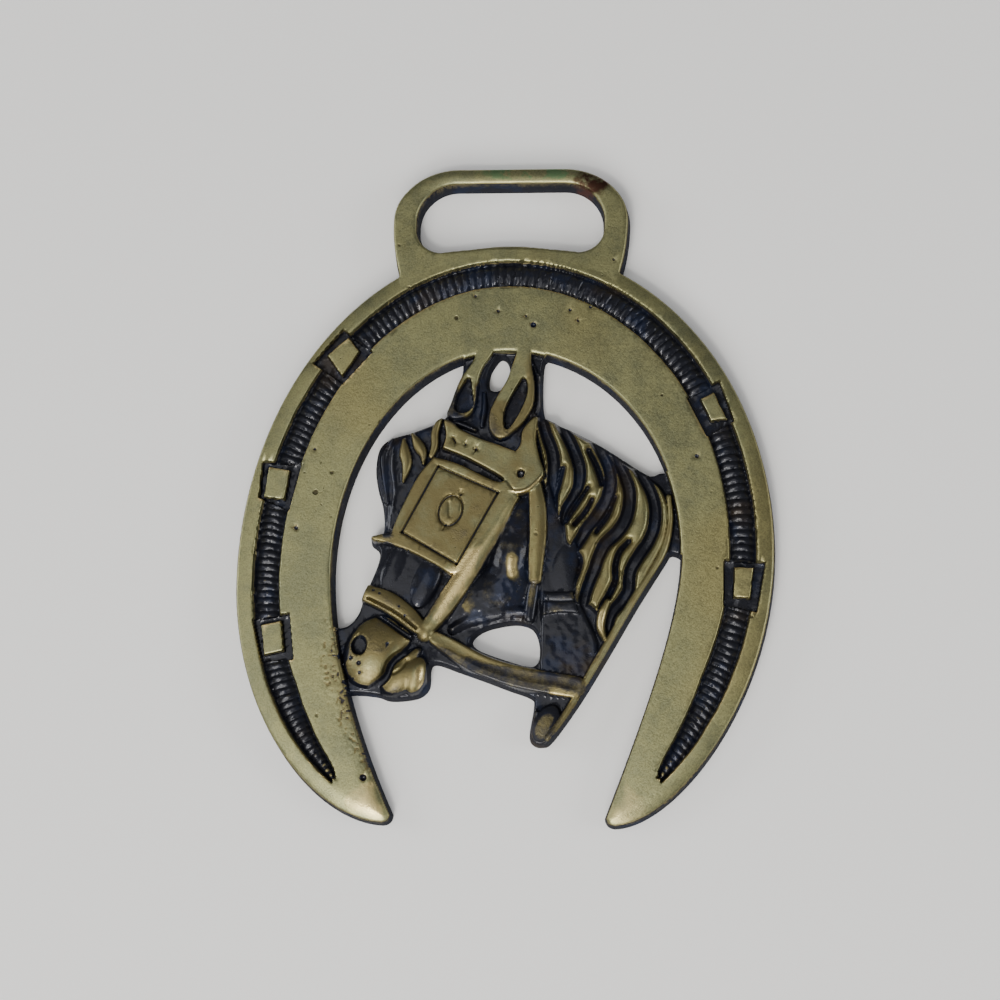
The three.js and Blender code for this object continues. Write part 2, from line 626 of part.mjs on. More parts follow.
/** A shallow cut along a line, of a width, into the blinker's face. */
function engraved(line, width) {
  const depth = 0.3;
  return loft(
    line.map(([x, y], i) => {
      const [ax, ay] = line[Math.max(0, i - 1)];
      const [bx, by] = line[Math.min(line.length - 1, i + 1)];
      const along = new THREE.Vector2(bx - ax, by - ay).normalize();
      const at = (side, z) => [x + along.y * side * width, y - along.x * side * width, z];
      return [
        at(-0.5, STRAP_TOP + 0.5),
        at(-0.5, STRAP_TOP),
        at(0, STRAP_TOP - depth),
        at(0.5, STRAP_TOP),
        at(0.5, STRAP_TOP + 0.5),
      ];
    }),
  );
}

/** The straps of the bridle and the rein. */
function straps() {
  const cheek = [[-0.2, -3.4, 1.7], [-2.4, -7.6, 1.9], [-5.2, -12.6, 2.3], [-7.6, -16.2, 2.2],
    [-9.6, -18.9, 1.8]];
  const throat = [[4.4, 0.2, 1.8], [4.5, -5, 2.3], [4.2, -10, 2.2], [3.8, -14, 1.9], [3.5, -17.2, 1.6]];
  const nose = [[-17.6, -14.4, 1.4], [-15.8, -14.8, 1.6], [-13.6, -16, 1.6], [-11.4, -17.8, 1.5],
    [-9.9, -19.2, 1.2]];
  const noseEdge = [[-17.8, -15.7, 0.5], [-15.6, -16.7, 0.6], [-13.2, -18.1, 0.6], [-11, -19.6, 0.5]];
  const rein = [
    [-10, -19.6, 1.4], [-7.6, -21, 2.2], [-4, -23.1, 2.4], [0, -24.8, 2.4], [4, -25.9, 2.5],
    [7.4, -26.4, 2.6], [10, -26.6, 2.6],
  ];
  const collar = [[5, -15.5, 2.6], [7.2, -15.4, 2.8], [9.3, -15.4, 2.6]];
  return [
    strip(cheek, STRAP_TOP + 0.15),
    strip(throat, FACE + 0.1),
    strip(nose, STRAP_TOP + 0.2, 0.2),
    strip(noseEdge, STRAP_TOP, 0.2),
    strip(rein, FACE, 0.15),
    strip(collar, FACE - 0.5, 0.15),
  ];
}

/** The rounded forms of the face: cheek, jaw, nose, muzzle and chin. */
function face() {
  const neck = [
    [5.4, 0], [6.6, -2], [7.6, -5], [9.8, -8.4], [9.6, -14], [12.4, -20.6], [11.2, -25], [5.4, -25],
    [5, -18], [4.6, -12],
  ];
  return [
    pad(neck, GROUND + 0.4, 0.3),
    dome([0.7, -10.4], 76, 8.2, 2.9, CHEEK_TOP, 2.6),
    dome([-2.2, -15.6], 20, 6.4, 3.1, FACE, 2.2),
    dome([-12.4, -11.8], 63, 8.5, 4.7, FACE - 0.1, 1.9),
    dome([-16.4, -22.2], 64, 5, 3.8, MUZZLE_TOP, 2.9),
    dome([-12.2, -25.2], 30, 3.3, 2.6, FACE + 0.3, 2.3),
  ];
}

/** What is cut from the muzzle: the nostril and the line of the mouth. */
function mouthAndNostril() {
  const nostril = dome([-18.2, -21], 60, 1.05, 0.85, FACE + 2.2, 1.9);
  const mouth = slit([[-10.2, -20.4, 1.3], [-12, -22, 1.2], [-14, -24.3, 0.9], [-16.8, -27, 0.9]], FACE - 1);
  return [nostril, mouth];
}

/** The whole head, cut off at the back. */
function head() {
  const { slab, holes } = headGround();
  const forms = join([slab, mane(), backOfNeck(), ...forelock(), ears(), ...face()]);
  const raised = forms.subtract(join(mouthAndNostril()));
  const dressed = join([raised, browband(), blinker(), ...straps()]).subtract(join(holes));
  const outline = smooth([[-26, 21], [26, 21], [26, -36], [-26, -36]].map(onHead), 1);
  return dressed.intersect(stack([{ outline, z: 0 }, { outline, z: FACE + 4 }]));
}

const casting = join([horseshoe(), loop()]).subtract(join([slotCut(), grooveWithNails()])).add(head());

const { vertProperties, triVerts } = casting.getMesh();
const geometry = new THREE.BufferGeometry();
geometry.setAttribute("position", new THREE.Float32BufferAttribute(vertProperties, 3));
geometry.setIndex([...triVerts]);

const brass = new THREE.MeshStandardMaterial({ color: BRASS_COLOUR, metalness: 1, roughness: 0.35 });
const mesh = new THREE.Mesh(geometry, brass);
mesh.name = "brass_casting";

const horseBrass = new THREE.Group();
horseBrass.name = "horse_brass";
horseBrass.add(mesh);

export default horseBrass;
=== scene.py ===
"""Dresses a cast horse brass, all of one piece.

It has a horseshoe with a corded groove and nail heads, a strap loop and a bridled horse's head. The shape
code works in millimetres in the part's own frame; meshes and the studio are in metres.
"""

import logging
import math
from dataclasses import dataclass, field
from enum import Enum, IntEnum
from typing import Any, ClassVar, Dict, List, Optional, Sequence, Tuple, Union

import bpy
import numpy as np
from mathutils import Matrix, Vector
from mathutils.geometry import delaunay_2d_cdt

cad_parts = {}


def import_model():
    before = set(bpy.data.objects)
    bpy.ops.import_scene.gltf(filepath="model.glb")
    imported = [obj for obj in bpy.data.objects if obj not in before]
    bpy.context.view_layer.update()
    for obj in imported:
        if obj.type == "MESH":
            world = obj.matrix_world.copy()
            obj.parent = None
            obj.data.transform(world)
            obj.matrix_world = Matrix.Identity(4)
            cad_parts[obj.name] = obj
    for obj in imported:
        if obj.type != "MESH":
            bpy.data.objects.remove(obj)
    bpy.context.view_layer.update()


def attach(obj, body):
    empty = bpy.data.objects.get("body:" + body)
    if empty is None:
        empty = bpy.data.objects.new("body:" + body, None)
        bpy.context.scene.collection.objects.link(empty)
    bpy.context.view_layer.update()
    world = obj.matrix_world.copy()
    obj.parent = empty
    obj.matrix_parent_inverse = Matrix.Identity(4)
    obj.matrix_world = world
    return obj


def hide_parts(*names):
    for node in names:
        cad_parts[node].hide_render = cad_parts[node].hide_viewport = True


NODE = "brass_casting"
PIECE = "horse_brass"
MM = 0.001
# Heights of the plate's face, of the head's ground and of the blinker.
FACE = 3.0
GROUND = 1.75
BLINKER_TOP = 3.25
# How far the walls lean outwards on their way down.
DRAFT = 0.25
# A height or distance that lies below or outside everything.
NOTHING = -9.0
# Steps between two points of a smooth line, and between those of a smooth engraved one.
LINE_STEPS = 5
ENGRAVED_STEPS = 6
# Keeps a division from failing.
TINY = 1e-12

log = logging.getLogger(PIECE)

Place = Tuple[float, float]
Points = Sequence[Tuple[float, ...]]
Window = Tuple[slice, slice]
Patch = Tuple[Points, float, float]


class Corner(Enum):
    """How an outline passes one of its points."""

    SHARP = 1.0


SHARP = Corner.SHARP.value


class Lattice(IntEnum):
    """The random lattices of the clouds, by what each of them makes uneven."""

    PLATE = 11
    PLATE_DIMPLES = 12
    GROOVE_EDGE = 13
    RIBS = 14
    CORD = 15
    NAIL_EDGE = 16
    LOOP = 21
    MANE = 22
    GROUND = 31
    NECK = 32
    NECK_GRAIN = 33
    CHEEK = 34
    CHEEK_LUMPS = 35
    PATCH_EDGE = 41
    WORN_LIPS = 42
    TARNISH = 43
    SPECKLE = 44


def smooth_step(low: float, high: float, values: np.ndarray) -> np.ndarray:
    """Rises from 0 at low to 1 at high along 3 t^2 - 2 t^3.

    Args:
        low: Where the rise starts.
        high: Where it ends.
        values: The numbers to map.

    Returns:
        An array of shares from 0 to 1.
    """
    t = np.clip((values - low) / (high - low), 0.0, 1.0)
    return t * t * (3.0 - 2.0 * t)


def catmull_rom(points: np.ndarray, closed: bool, steps: int) -> np.ndarray:
    """Points along a smooth curve through given ones.

    Between P1 and P2, with neighbours P0 and P3, it is the cubic whose end tangents are (P2 - P0) / 2 and
    (P3 - P1) / 2. The ends of an open curve take mirrored neighbours.

    Args:
        points: The points to pass, one per row.
        closed: Whether the curve returns to its start.
        steps: Number of steps between two points.

    Returns:
        The curve's points, one per row.
    """
    if closed:
        padded = np.vstack([points[-1:], points, points[:2]])
    else:
        padded = np.vstack([2 * points[:1] - points[1:2], points, 2 * points[-1:] - points[-2:-1]])
    p0, p1, p2, p3 = (padded[i : len(padded) - 3 + i, None, :] for i in range(4))
    t = (np.arange(steps) / steps)[None, :, None]
    curve = (
        2 * p1 + (p2 - p0) * t + (2 * p0 - 5 * p1 + 4 * p2 - p3) * t**2
        + (3 * p1 - p0 - 3 * p2 + p3) * t**3
    )
    curve = 0.5 * curve.reshape(-1, points.shape[1])
    return curve if closed else np.vstack([curve, points[-1:]])


def quadratic(a: Place, b: Place, c: Place) -> np.ndarray:
    """Points of a quadratic curve from a to c: a (1 - t)^2 + 2 b t (1 - t) + c t^2."""
    t = np.linspace(0, 1, 24)[:, None]
    p, q, r = np.array(a, float), np.array(b, float), np.array(c, float)
    return p * (1 - t) ** 2 + 2 * q * t * (1 - t) + r * t**2


def cubic(*control: Place) -> np.ndarray:
    """Points of a cubic curve from a to d: a (1 - t)^3 + 3 b t (1 - t)^2 + 3 c t^2 (1 - t) + d t^3."""
    p = np.array(control, float)
    t = np.linspace(0, 1, 50)[:, None]
    return p[0] * (1 - t) ** 3 + 3 * p[1] * t * (1 - t) ** 2 + 3 * p[2] * t**2 * (1 - t) + p[3] * t**3


def arc(centre: Place, half: Place, start: float, end: float) -> np.ndarray:
    """Points of an ellipse's arc between two angles in degrees: centre + (a cos t, b sin t)."""
    t = np.radians(np.linspace(start, end, 60))
    return np.stack([centre[0] + half[0] * np.cos(t), centre[1] + half[1] * np.sin(t)], axis=1)


def outline(points: Points) -> np.ndarray:
    """A closed outline, smooth but for the points that carry a third value, which are corners.

    Args:
        points: The outline's points.

    Returns:
        The outline's points, one per row.
    """
    xy = np.array([p[:2] for p in points], float)
    corners = [i for i, p in enumerate(points) if len(p) == 3]
    if not corners:
        return catmull_rom(xy, True, LINE_STEPS)
    first = corners[0]
    ring = np.vstack([np.roll(xy, -first, axis=0), xy[first]])
    marks = [c - first for c in corners] + [len(points)]
    runs = [catmull_rom(ring[a : b + 1], False, LINE_STEPS)[:-1] for a, b in zip(marks, marks[1:])]
    return np.vstack(runs)


def smooth_line(points: Points) -> np.ndarray:
    """A smooth open line through points that each carry a width."""
    return catmull_rom(np.array(points, float), False, LINE_STEPS)


def area_distance(x: np.ndarray, y: np.ndarray, ring: np.ndarray) -> np.ndarray:
    """Distance to the edge of an area, positive inside.

    It is the least distance to the edge's straight pieces; a point is inside if a ray to the right crosses
    the edge an odd number of times.

    Args:
        x: Places across.
        y: Places up.
        ring: The area's closed outline.

    Returns:
        Distances, in the shape of x.
    """
    nearest = np.full(x.shape, np.inf)
    inside = np.zeros(x.shape, bool)
    for (ax, ay), (bx, by) in zip(ring, np.roll(ring, -1, axis=0)):
        ex, ey = bx - ax, by - ay
        length = ex * ex + ey * ey
        if length < TINY:
            continue
        wx, wy = x - ax, y - ay
        t = np.clip((wx * ex + wy * ey) / length, 0.0, 1.0)
        nearest = np.minimum(nearest, (wx - ex * t) ** 2 + (wy - ey * t) ** 2)
        if ey != 0.0:
            inside ^= ((ay > y) != (by > y)) & (wx < ex * wy / ey)
    return np.where(inside, 1.0, -1.0) * np.sqrt(nearest)


def stroke_distance(x: np.ndarray, y: np.ndarray, line: np.ndarray) -> np.ndarray:
    """Distance to the edge of a stroke of changing width, positive inside.

    Over each straight piece it is half the width at the nearest place less the distance to it, and the
    largest of these counts.

    Args:
        x: Places across.
        y: Places up.
        line: Rows of x, y and full width.

    Returns:
        Distances, in the shape of x.
    """
    widest = np.full(x.shape, -np.inf)
    for (ax, ay, aw), (bx, by, bw) in zip(line[:-1], line[1:]):
        ex, ey = bx - ax, by - ay
        wx, wy = x - ax, y - ay
        t = np.clip((wx * ex + wy * ey) / max(ex * ex + ey * ey, TINY), 0.0, 1.0)
        away = np.hypot(wx - ex * t, wy - ey * t)
        widest = np.maximum(widest, 0.5 * (aw + (bw - aw) * t) - away)
    return widest


def edge_drop(inside: np.ndarray, radius: float, steep: float = 6.0) -> np.ndarray:
    """How far a form lies below its top: a quarter circle inside its edge, a steep wall outside.

    Args:
        inside: Distance to the form's edge, positive inside.
        radius: Radius of the rounded edge.
        steep: Fall of the wall for each unit outwards.

    Returns:
        Drops, in the shape of inside.
    """
    t = np.clip(1.0 - inside / radius, 0.0, 1.0)
    return radius * (1.0 - np.sqrt(1.0 - t * t)) + steep * np.maximum(-inside, 0.0)


def soft_max(a: np.ndarray, b: Union[np.ndarray, float], reach: float) -> np.ndarray:
    """The larger of two heights, with a fillet where they are within a reach of each other.

    The fillet adds (reach - |a - b|)^2 / (4 reach).

    Args:
        a: One height.
        b: The other.
        reach: Size of the fillet.

    Returns:
        The joined height.
    """
    near = np.maximum(reach - np.abs(a - b), 0.0)
    return np.maximum(a, b) + near * near / (4.0 * reach)


def blurred(values: np.ndarray, cells: int) -> np.ndarray:
    """Three passes of a running mean both ways, which comes close to a bell-shaped blur.

    Args:
        values: The grid of values.
        cells: Half width of the mean, in cells.

    Returns:
        The blurred grid.
    """
    size = 2 * cells + 1
    for _ in range(3):
        for axis in (0, 1):
            ends = [(0, 0), (0, 0)]
            ends[axis] = (cells + 1, cells)
            total = np.cumsum(np.pad(values, ends, mode="edge"), axis=axis)
            upper = np.take(total, np.arange(size, total.shape[axis]), axis=axis)
            lower = np.take(total, np.arange(0, total.shape[axis] - size), axis=axis)
            values = (upper - lower) / size
    return values


@dataclass
class Grid:
    """The square grid that the relief is worked out on."""

    half_width: float = 35.6
    half_height: float = 44.6
    spacing: float = 0.125

    def __post_init__(self) -> None:
        """Lays out the places of the grid, a whole number of the largest cells each way."""
        largest = self.spacing * 2 ** Cells.sizes
        across, up = math.ceil(self.half_width / largest), math.ceil(self.half_height / largest)
        self.xs = np.arange(-across * 2**Cells.sizes, across * 2**Cells.sizes + 1) * self.spacing
        self.ys = np.arange(-up * 2**Cells.sizes, up * 2**Cells.sizes + 1) * self.spacing
        self.x, self.y = np.meshgrid(self.xs, self.ys)

    def window(self, points: np.ndarray, margin: float) -> Window:
        """The part of the grid around some points.

        Args:
            points: Rows that start with x and y.
            margin: How far the part goes beyond them.

        Returns:
            Row and column slices.
        """
        lo, hi = points[:, :2].min(axis=0) - margin, points[:, :2].max(axis=0) + margin
        columns = slice(*np.searchsorted(self.xs, (lo[0], hi[0])))
        rows = slice(*np.searchsorted(self.ys, (lo[1], hi[1])))
        return rows, columns

    def sample(self, values: np.ndarray, x: np.ndarray, y: np.ndarray) -> np.ndarray:
        """Values at places between the grid's, by straight blending both ways.

        Args:
            values: A grid of values.
            x: Places across.
            y: Places up.

        Returns:
            Values at the places.
        """
        u = np.clip((x - self.xs[0]) / self.spacing, 0, len(self.xs) - 1.001)
        v = np.clip((y - self.ys[0]) / self.spacing, 0, len(self.ys) - 1.001)
        i, j = u.astype(int), v.astype(int)
        fu, fv = u - i, v - j
        low = values[j, i] * (1 - fu) + values[j, i + 1] * fu
        high = values[j + 1, i] * (1 - fu) + values[j + 1, i + 1] * fu
        return low * (1 - fv) + high * fv

    def in_area(self, ring: np.ndarray, margin: float) -> Tuple[Window, np.ndarray]:
        """The part of the grid around an area, and the distance to the area's edge there.

        Args:
            ring: The area's closed outline.
            margin: How far the part goes beyond it.

        Returns:
            Row and column slices, and distances, positive inside.
        """
        at = self.window(ring, margin)
        return at, area_distance(self.x[at], self.y[at], ring)

    def in_stroke(self, line: np.ndarray, margin: float) -> Tuple[Window, np.ndarray]:
        """The part of the grid around a stroke, and the distance to the stroke's edge there.

        Args:
            line: Rows of x, y and full width.
            margin: How far the part goes beyond it.

        Returns:
            Row and column slices, and distances, positive inside.
        """
        at = self.window(line, margin)
        return at, stroke_distance(self.x[at], self.y[at], line)

    def cloud(self, cell: float, lattice: Lattice, at: Any = ...) -> np.ndarray:
        """Smooth random values from -1 to 1: a lattice of random numbers, blended by smooth steps.

        Args:
            cell: Size of the lattice's cells.
            lattice: Which lattice.
            at: The part of the grid, all of it if not given.

        Returns:
            Values over that part.
        """
        side = 256
        knots = np.random.default_rng(int(lattice)).uniform(-1.0, 1.0, (side, side))
        u, v = self.x[at] / cell + side / 2, self.y[at] / cell + side / 2
        i, j = np.floor(u).astype(int), np.floor(v).astype(int)
        fu, fv = u - i, v - j
        fu, fv = fu * fu * (3 - 2 * fu), fv * fv * (3 - 2 * fv)
        i, j, i1, j1 = i % side, j % side, (i + 1) % side, (j + 1) % side
        low = knots[j, i] * (1 - fu) + knots[j, i1] * fu
        high = knots[j1, i] * (1 - fu) + knots[j1, i1] * fu
        return low * (1 - fv) + high * fv

    def patches(self, areas: Sequence[Patch]) -> np.ndarray:
        """How strongly each place lies in some soft-edged areas.

        Each area counts fully from its feather inwards and fades to nothing at its feather outwards.

        Args:
            areas: Outlines with a strength and a feather.

        Returns:
            Shares from 0 to 1.
        """
        strength = np.zeros(self.x.shape)
        for points, most, feather in areas:
            at, inside = self.in_area(outline(points), feather + 0.5)
            inside = inside + 0.4 * feather * self.cloud(1.0, Lattice.PATCH_EDGE, at)
            strength[at] = np.maximum(strength[at], most * smooth_step(-feather, feather, inside))
        return strength


@dataclass
class Relief:
    """Heights over the grid, built up by raising forms and cutting into them."""

    grid: Grid

    def __post_init__(self) -> None:
        """Starts with nothing raised, and with flat faces."""
        self.height = np.full(self.grid.x.shape, NOTHING)
        self.level = np.full(self.grid.x.shape, FACE)

    def _merge(self, where: Window, form: np.ndarray, blend: float) -> None:
        """Joins a form's heights into a part of the relief."""
        self.height[where] = soft_max(self.height[where], form, blend)

    def _carve(self, where: Window, form: np.ndarray, blend: float) -> None:
        """Cuts a part of the relief down to a form's heights."""
        self.height[where] = -soft_max(-self.height[where], -form, blend)

    def pad(
        self, points: Points, top: float, radius: float, steep: float = 6.0, blend: float = 0.12
    ) -> None:
        """Raises a flat form with a rounded edge.

        Args:
            points: Its outline.
            top: Height of its top.
            radius: Radius of its edge.
            steep: Fall of its wall.
            blend: Size of the fillet where it meets the rest.
        """
        at, inside = self.grid.in_area(outline(points), 1.5)
        self._merge(at, top - edge_drop(inside, radius, steep), blend)

    def waves(self, points: Points, slits: Sequence[Points], top: float, low: float, reach: float) -> None:
        """Raises a form that slits part into round-backed waves.

        Its height is low + (top - low) times a smooth rise from 0 in the middle of a slit to 1 on the crowns.

        Args:
            points: Its outline.
            slits: Strokes of x, y and width.
            top: Height of its crowns.
            low: Height of the slits' floors.
            reach: How far the rise goes on either side of a slit's edge.
        """
        at, room = self.grid.in_area(outline(points), 1.5)
        x, y, inside = self.grid.x[at], self.grid.y[at], room
        for slit in slits:
            inside = np.minimum(inside, -stroke_distance(x, y, smooth_line(slit)))
        rise = smooth_step(-reach, reach, inside)
        crown = 0.28 * (1.0 - np.clip(inside / 1.2, 0.0, 1.0)) ** 2
        form = low + (top - low) * rise - crown + 0.03 * self.grid.cloud(0.9, Lattice.MANE, at)
        self._merge(at, np.where(room > -reach, form, NOTHING), 0.05)

    def strip(
        self, points: Points, top: float, crown: float, steep: float = 5.0, blend: float = 0.15
    ) -> None:
        """Raises a strip whose top is crowned.

        It falls from its middle by the crown times the square of the share of the way to its edge.

        Args:
            points: Its line, as x, y and width.
            top: Height of its middle.
            crown: Fall from the middle to the edge.
            steep: Fall of its walls.
            blend: Size of the fillet where it meets the rest.
        """
        line = smooth_line(points)
        at, inside = self.grid.in_stroke(line, 2.5)
        half = 0.5 * line[:, 2].max()
        away = np.clip(1.0 - inside / half, 0.0, 1.0)
        self._merge(at, top - crown * away**2 - edge_drop(inside, 0.2, steep), blend)

    def dome(
        self, centre: Place, angle: float, half: Place, top: float, depth: float, blend: float = 0.35
    ) -> None:
        """Raises the upper half of an ellipsoid.

        Its height is top - depth (1 - sqrt(1 - u^2 - v^2)), with u and v the shares of its half axes.

        Args:
            centre: Its middle.
            angle: Turn of its long axis from +X, in degrees.
            half: Half its length and half its width.
            top: Height of its highest point.
            depth: Its third half axis.
            blend: Size of the fillet where it meets the rest.
        """
        reach = max(half) + 0.5
        box = np.array([[centre[0] - reach, centre[1] - reach], [centre[0] + reach, centre[1] + reach]])
        at = self.grid.window(box, 0.0)
        dx, dy = self.grid.x[at] - centre[0], self.grid.y[at] - centre[1]
        c, s = math.cos(math.radians(angle)), math.sin(math.radians(angle))
        u, v = (dx * c + dy * s) / half[0], (dy * c - dx * s) / half[1]
        rr = u * u + v * v
        form = top - depth * (1.0 - np.sqrt(np.clip(1.0 - rr, 0.0, 1.0))) - 8.0 * np.maximum(rr - 1.0, 0.0)
        self._merge(at, form, blend)

    def cut_area(self, points: Points, floor: float, steep: float = 4.0, blend: float = 0.12) -> None:
        """Cuts a hollow with a flat floor.

        Args:
            points: Its outline at the floor.
            floor: Height of its floor.
            steep: Rise of its walls.
            blend: Size of the fillet at its floor and rim.
        """
        at, inside = self.grid.in_area(outline(points), 1.2)
        self._carve(at, floor + steep * np.maximum(-inside, 0.0), blend)

    def cut_line(self, points: Points, floor: float, steep: float = 3.0, blend: float = 0.12) -> None:
        """Cuts a slit with a flat floor along a line.

        Args:
            points: Its line, as x, y and the floor's width.
            floor: Height of its floor.
            steep: Rise of its walls.
            blend: Size of the fillet at its floor and rim.
        """
        at, inside = self.grid.in_stroke(smooth_line(points), 2.0)
        self._carve(at, floor + steep * np.maximum(-inside, 0.0), blend)

    def engrave(
        self, points: Points, width: float, depth: float, smooth: bool = False, closed: bool = False
    ) -> None:
        """Sinks a round-bottomed line into whatever it crosses.

        Its depth is the full depth times 1 - d^2, with d the share of half the width away from its middle.

        Args:
            points: Its line.
            width: Its full width.
            depth: Its full depth.
            smooth: Whether it curves through the points.
            closed: Whether it returns to its start.
        """
        xy = np.array([p[:2] for p in points], float)
        if smooth:
            xy = catmull_rom(xy, closed, ENGRAVED_STEPS)
        if closed:
            xy = np.vstack([xy, xy[:1]])
        line = np.hstack([xy, np.zeros((len(xy), 1))])
        at, inside = self.grid.in_stroke(line, width)
        away = -inside / (0.5 * width)
        self.height[at] -= depth * np.clip(1.0 - away * away, 0.0, 1.0)

    def dot(self, pits: Points) -> None:
        """Sinks small round pits, half as deep as wide.

        Args:
            pits: Each pit's place and width.
        """
        for x, y, wide in pits:
            self.engrave(((x, y), (x + 0.05, y)), wide, 0.5 * wide)


@dataclass
class Horseshoe:
    """The plate of the horseshoe, with its corded groove and nail heads."""

    half_width: float = 35.0
    tip_y: float = -44.0
    arch_y: float = 33.0
    widest: Place = (-12.0, -8.5)
    opening_half: Place = (22.1, 22.8)
    opening_widest: Place = (-11.5, -9.0)
    opening_top: float = 18.0
    tip_x: float = 13.4
    tip_width: float = 1.3
    lip: float = 2.7
    lip_fall: float = 0.28
    groove_width: float = 3.0
    groove_floor: float = 1.9
    groove_crown: float = 0.5
    groove_end: float = 9.0
    groove_taper: float = 15.0
    groove_reach: Tuple[float, float] = (0.2, 8.0)
    groove_steep: float = 3.2
    groove_blend: float = 0.14
    rib_pitches: Sequence[float] = (0.95, 0.96, 1.05, 1.20, 1.15, 1.05, 0.99)
    nail_boxes: Sequence[Points] = (
        ((-22, 21), (-25.75, 16.5), (-21.75, 13.75), (-18.1, 18)),
        ((-31.9, 2.9), (-26.9, 2.6), (-28.3, -3.5), (-32.15, -1.8)),
        ((-32.15, -18.1), (-27.6, -17.35), (-26.85, -23.1), (-30.8, -23.4)),
        ((27.75, 13.75), (23.75, 11.6), (26.25, 6.6), (29.6, 8.5)),
        ((28.5, -10), (33.5, -10.3), (32.4, -16.5), (28.4, -15.7)),
    )
    nail_heads: Sequence[Points] = (
        ((-21.25, 20), (-24, 17.5), (-21.9, 14.75), (-19.75, 18.1)),
        ((-31.1, 2.25), (-28.4, 1.75), (-28.9, -2.1), (-31.6, -1.8)),
        ((-31.1, -18.8), (-28.6, -18.2), (-28, -22.1), (-30.5, -22.65)),
        ((25.4, 11.4), (27.1, 12.25), (28.75, 8.75), (26.75, 8.5)),
        ((29.7, -10.9), (32.1, -10.9), (31.6, -14.85), (29.6, -14.7)),
    )
    pits: Points = (
        (3.4, 21.6, 0.75), (-27.1, -6.0, 0.5), (24.9, 3.7, 0.5), (-17.1, -38.2, 0.85), (-14.6, 24.4, 0.4),
        (-25.1, 4.6, 0.35), (8.2, 23.6, 0.35), (-4.4, 25.6, 0.35), (-1.3, 23.5, 0.4), (10.9, 24.0, 0.35),
        (9.3, 22.1, 0.3), (2.4, 22.8, 0.25), (-18.6, 22.6, 0.3), (13.9, 30.6, 0.3),
    )
    tarnished: Sequence[Patch] = (
        (((-22.4, -17.0), (-20.0, -17.4), (-18.0, -26.0), (-15.4, -33.0), (-13.6, -38.4), (-14.6, -39.4),
          (-17.8, -36.0), (-20.6, -30.4), (-22.6, -24.0)), 0.80, 1.8),
    )

    def outer_edge(self) -> np.ndarray:
        """The outer edge, from the left leg's end over the arch to the right one's: cubic, arcs, cubic."""
        end_x, half, tip = self.tip_x + self.tip_width, self.half_width, self.tip_y
        left, right = self.widest
        return np.vstack([
            cubic((-end_x, tip), (-end_x - 9.5, tip + 0.3), (-half, left - 18), (-half, left)),
            arc((0, left), (half, self.arch_y - left), 180, 90)[1:],
            arc((0, right), (half, self.arch_y - right), 90, 0)[1:],
            cubic((half, right), (half, right - 19), (end_x + 7.8, tip + 0.3), (end_x, tip))[1:],
        ])

    def opening_edge(self) -> np.ndarray:
        """The edge of the opening, back from the right leg's end to the left leg's."""
        (left, right), top, x = self.opening_half, self.opening_top, self.tip_x
        (low_l, low_r), end = self.opening_widest, self.tip_y + 1.3
        return np.vstack([
            cubic((x, end), (x + 4.2, end + 11.2), (right, low_r - 8.5), (right, low_r)),
            arc((0, low_r), (right, top - low_r), 0, 90)[1:],
            arc((0, low_l), (left, top - low_l), 90, 180)[1:],
            cubic((-left, low_l), (-left, low_l - 9.5), (-x - 4.9, end + 10), (-x, end))[1:],
        ])

    def area(self, grid: Grid) -> np.ndarray:
        """Distance to the horseshoe's edge over the grid, positive inside."""
        outer, opening = self.outer_edge(), self.opening_edge()
        corner_x, corner_y = self.tip_x + 0.1, self.tip_y + 0.1
        right = quadratic(tuple(outer[-1]), (corner_x, corner_y), tuple(opening[0]))
        left = quadratic(tuple(opening[-1]), (-corner_x, corner_y), tuple(outer[0]))
        return area_distance(grid.x, grid.y, np.vstack([outer, right[1:], opening[1:], left[1:-1]]))

    @staticmethod
    def speckle(grid: Grid) -> np.ndarray:
        """Small scattered dots over the grid, 1 in a dot and 0 between them: the peaks of a fine cloud."""
        return smooth_step(0.15, 0.55, grid.cloud(0.32, Lattice.SPECKLE))

    def along_edge(self, grid: Grid, reach: np.ndarray) -> Tuple[np.ndarray, np.ndarray, float]:
        """Way along the outer edge and distance from it, for some places of the grid.

        Args:
            grid: The grid.
            reach: Which places.

        Returns:
            The ways along, the distances, and the edge's length.
        """
        edge = self.outer_edge()
        x, y = grid.x[reach], grid.y[reach]
        nearest, way, start = np.full(x.shape, np.inf), np.zeros(x.shape), 0.0
        for (ax, ay), (bx, by) in zip(edge[:-1], edge[1:]):
            ex, ey = bx - ax, by - ay
            length = math.hypot(ex, ey)
            t = np.clip(((x - ax) * ex + (y - ay) * ey) / length**2, 0.0, 1.0)
            away = (x - ax - ex * t) ** 2 + (y - ay - ey * t) ** 2
            closer = away < nearest
            nearest = np.where(closer, away, nearest)
            way = np.where(closer, start + t * length, way)
            start += length
        return way, np.sqrt(nearest), start

    def model(self, relief: Relief, inside: np.ndarray) -> None:
        """Raises the plate, cuts the corded groove and sets the nail heads in it.

        Args:
            relief: The relief to work on.
            inside: Distance to the horseshoe's edge.
        """
        self._plate(relief, inside)
        self._groove(relief, inside)
        self._nails(relief)
        relief.dot(self.pits)

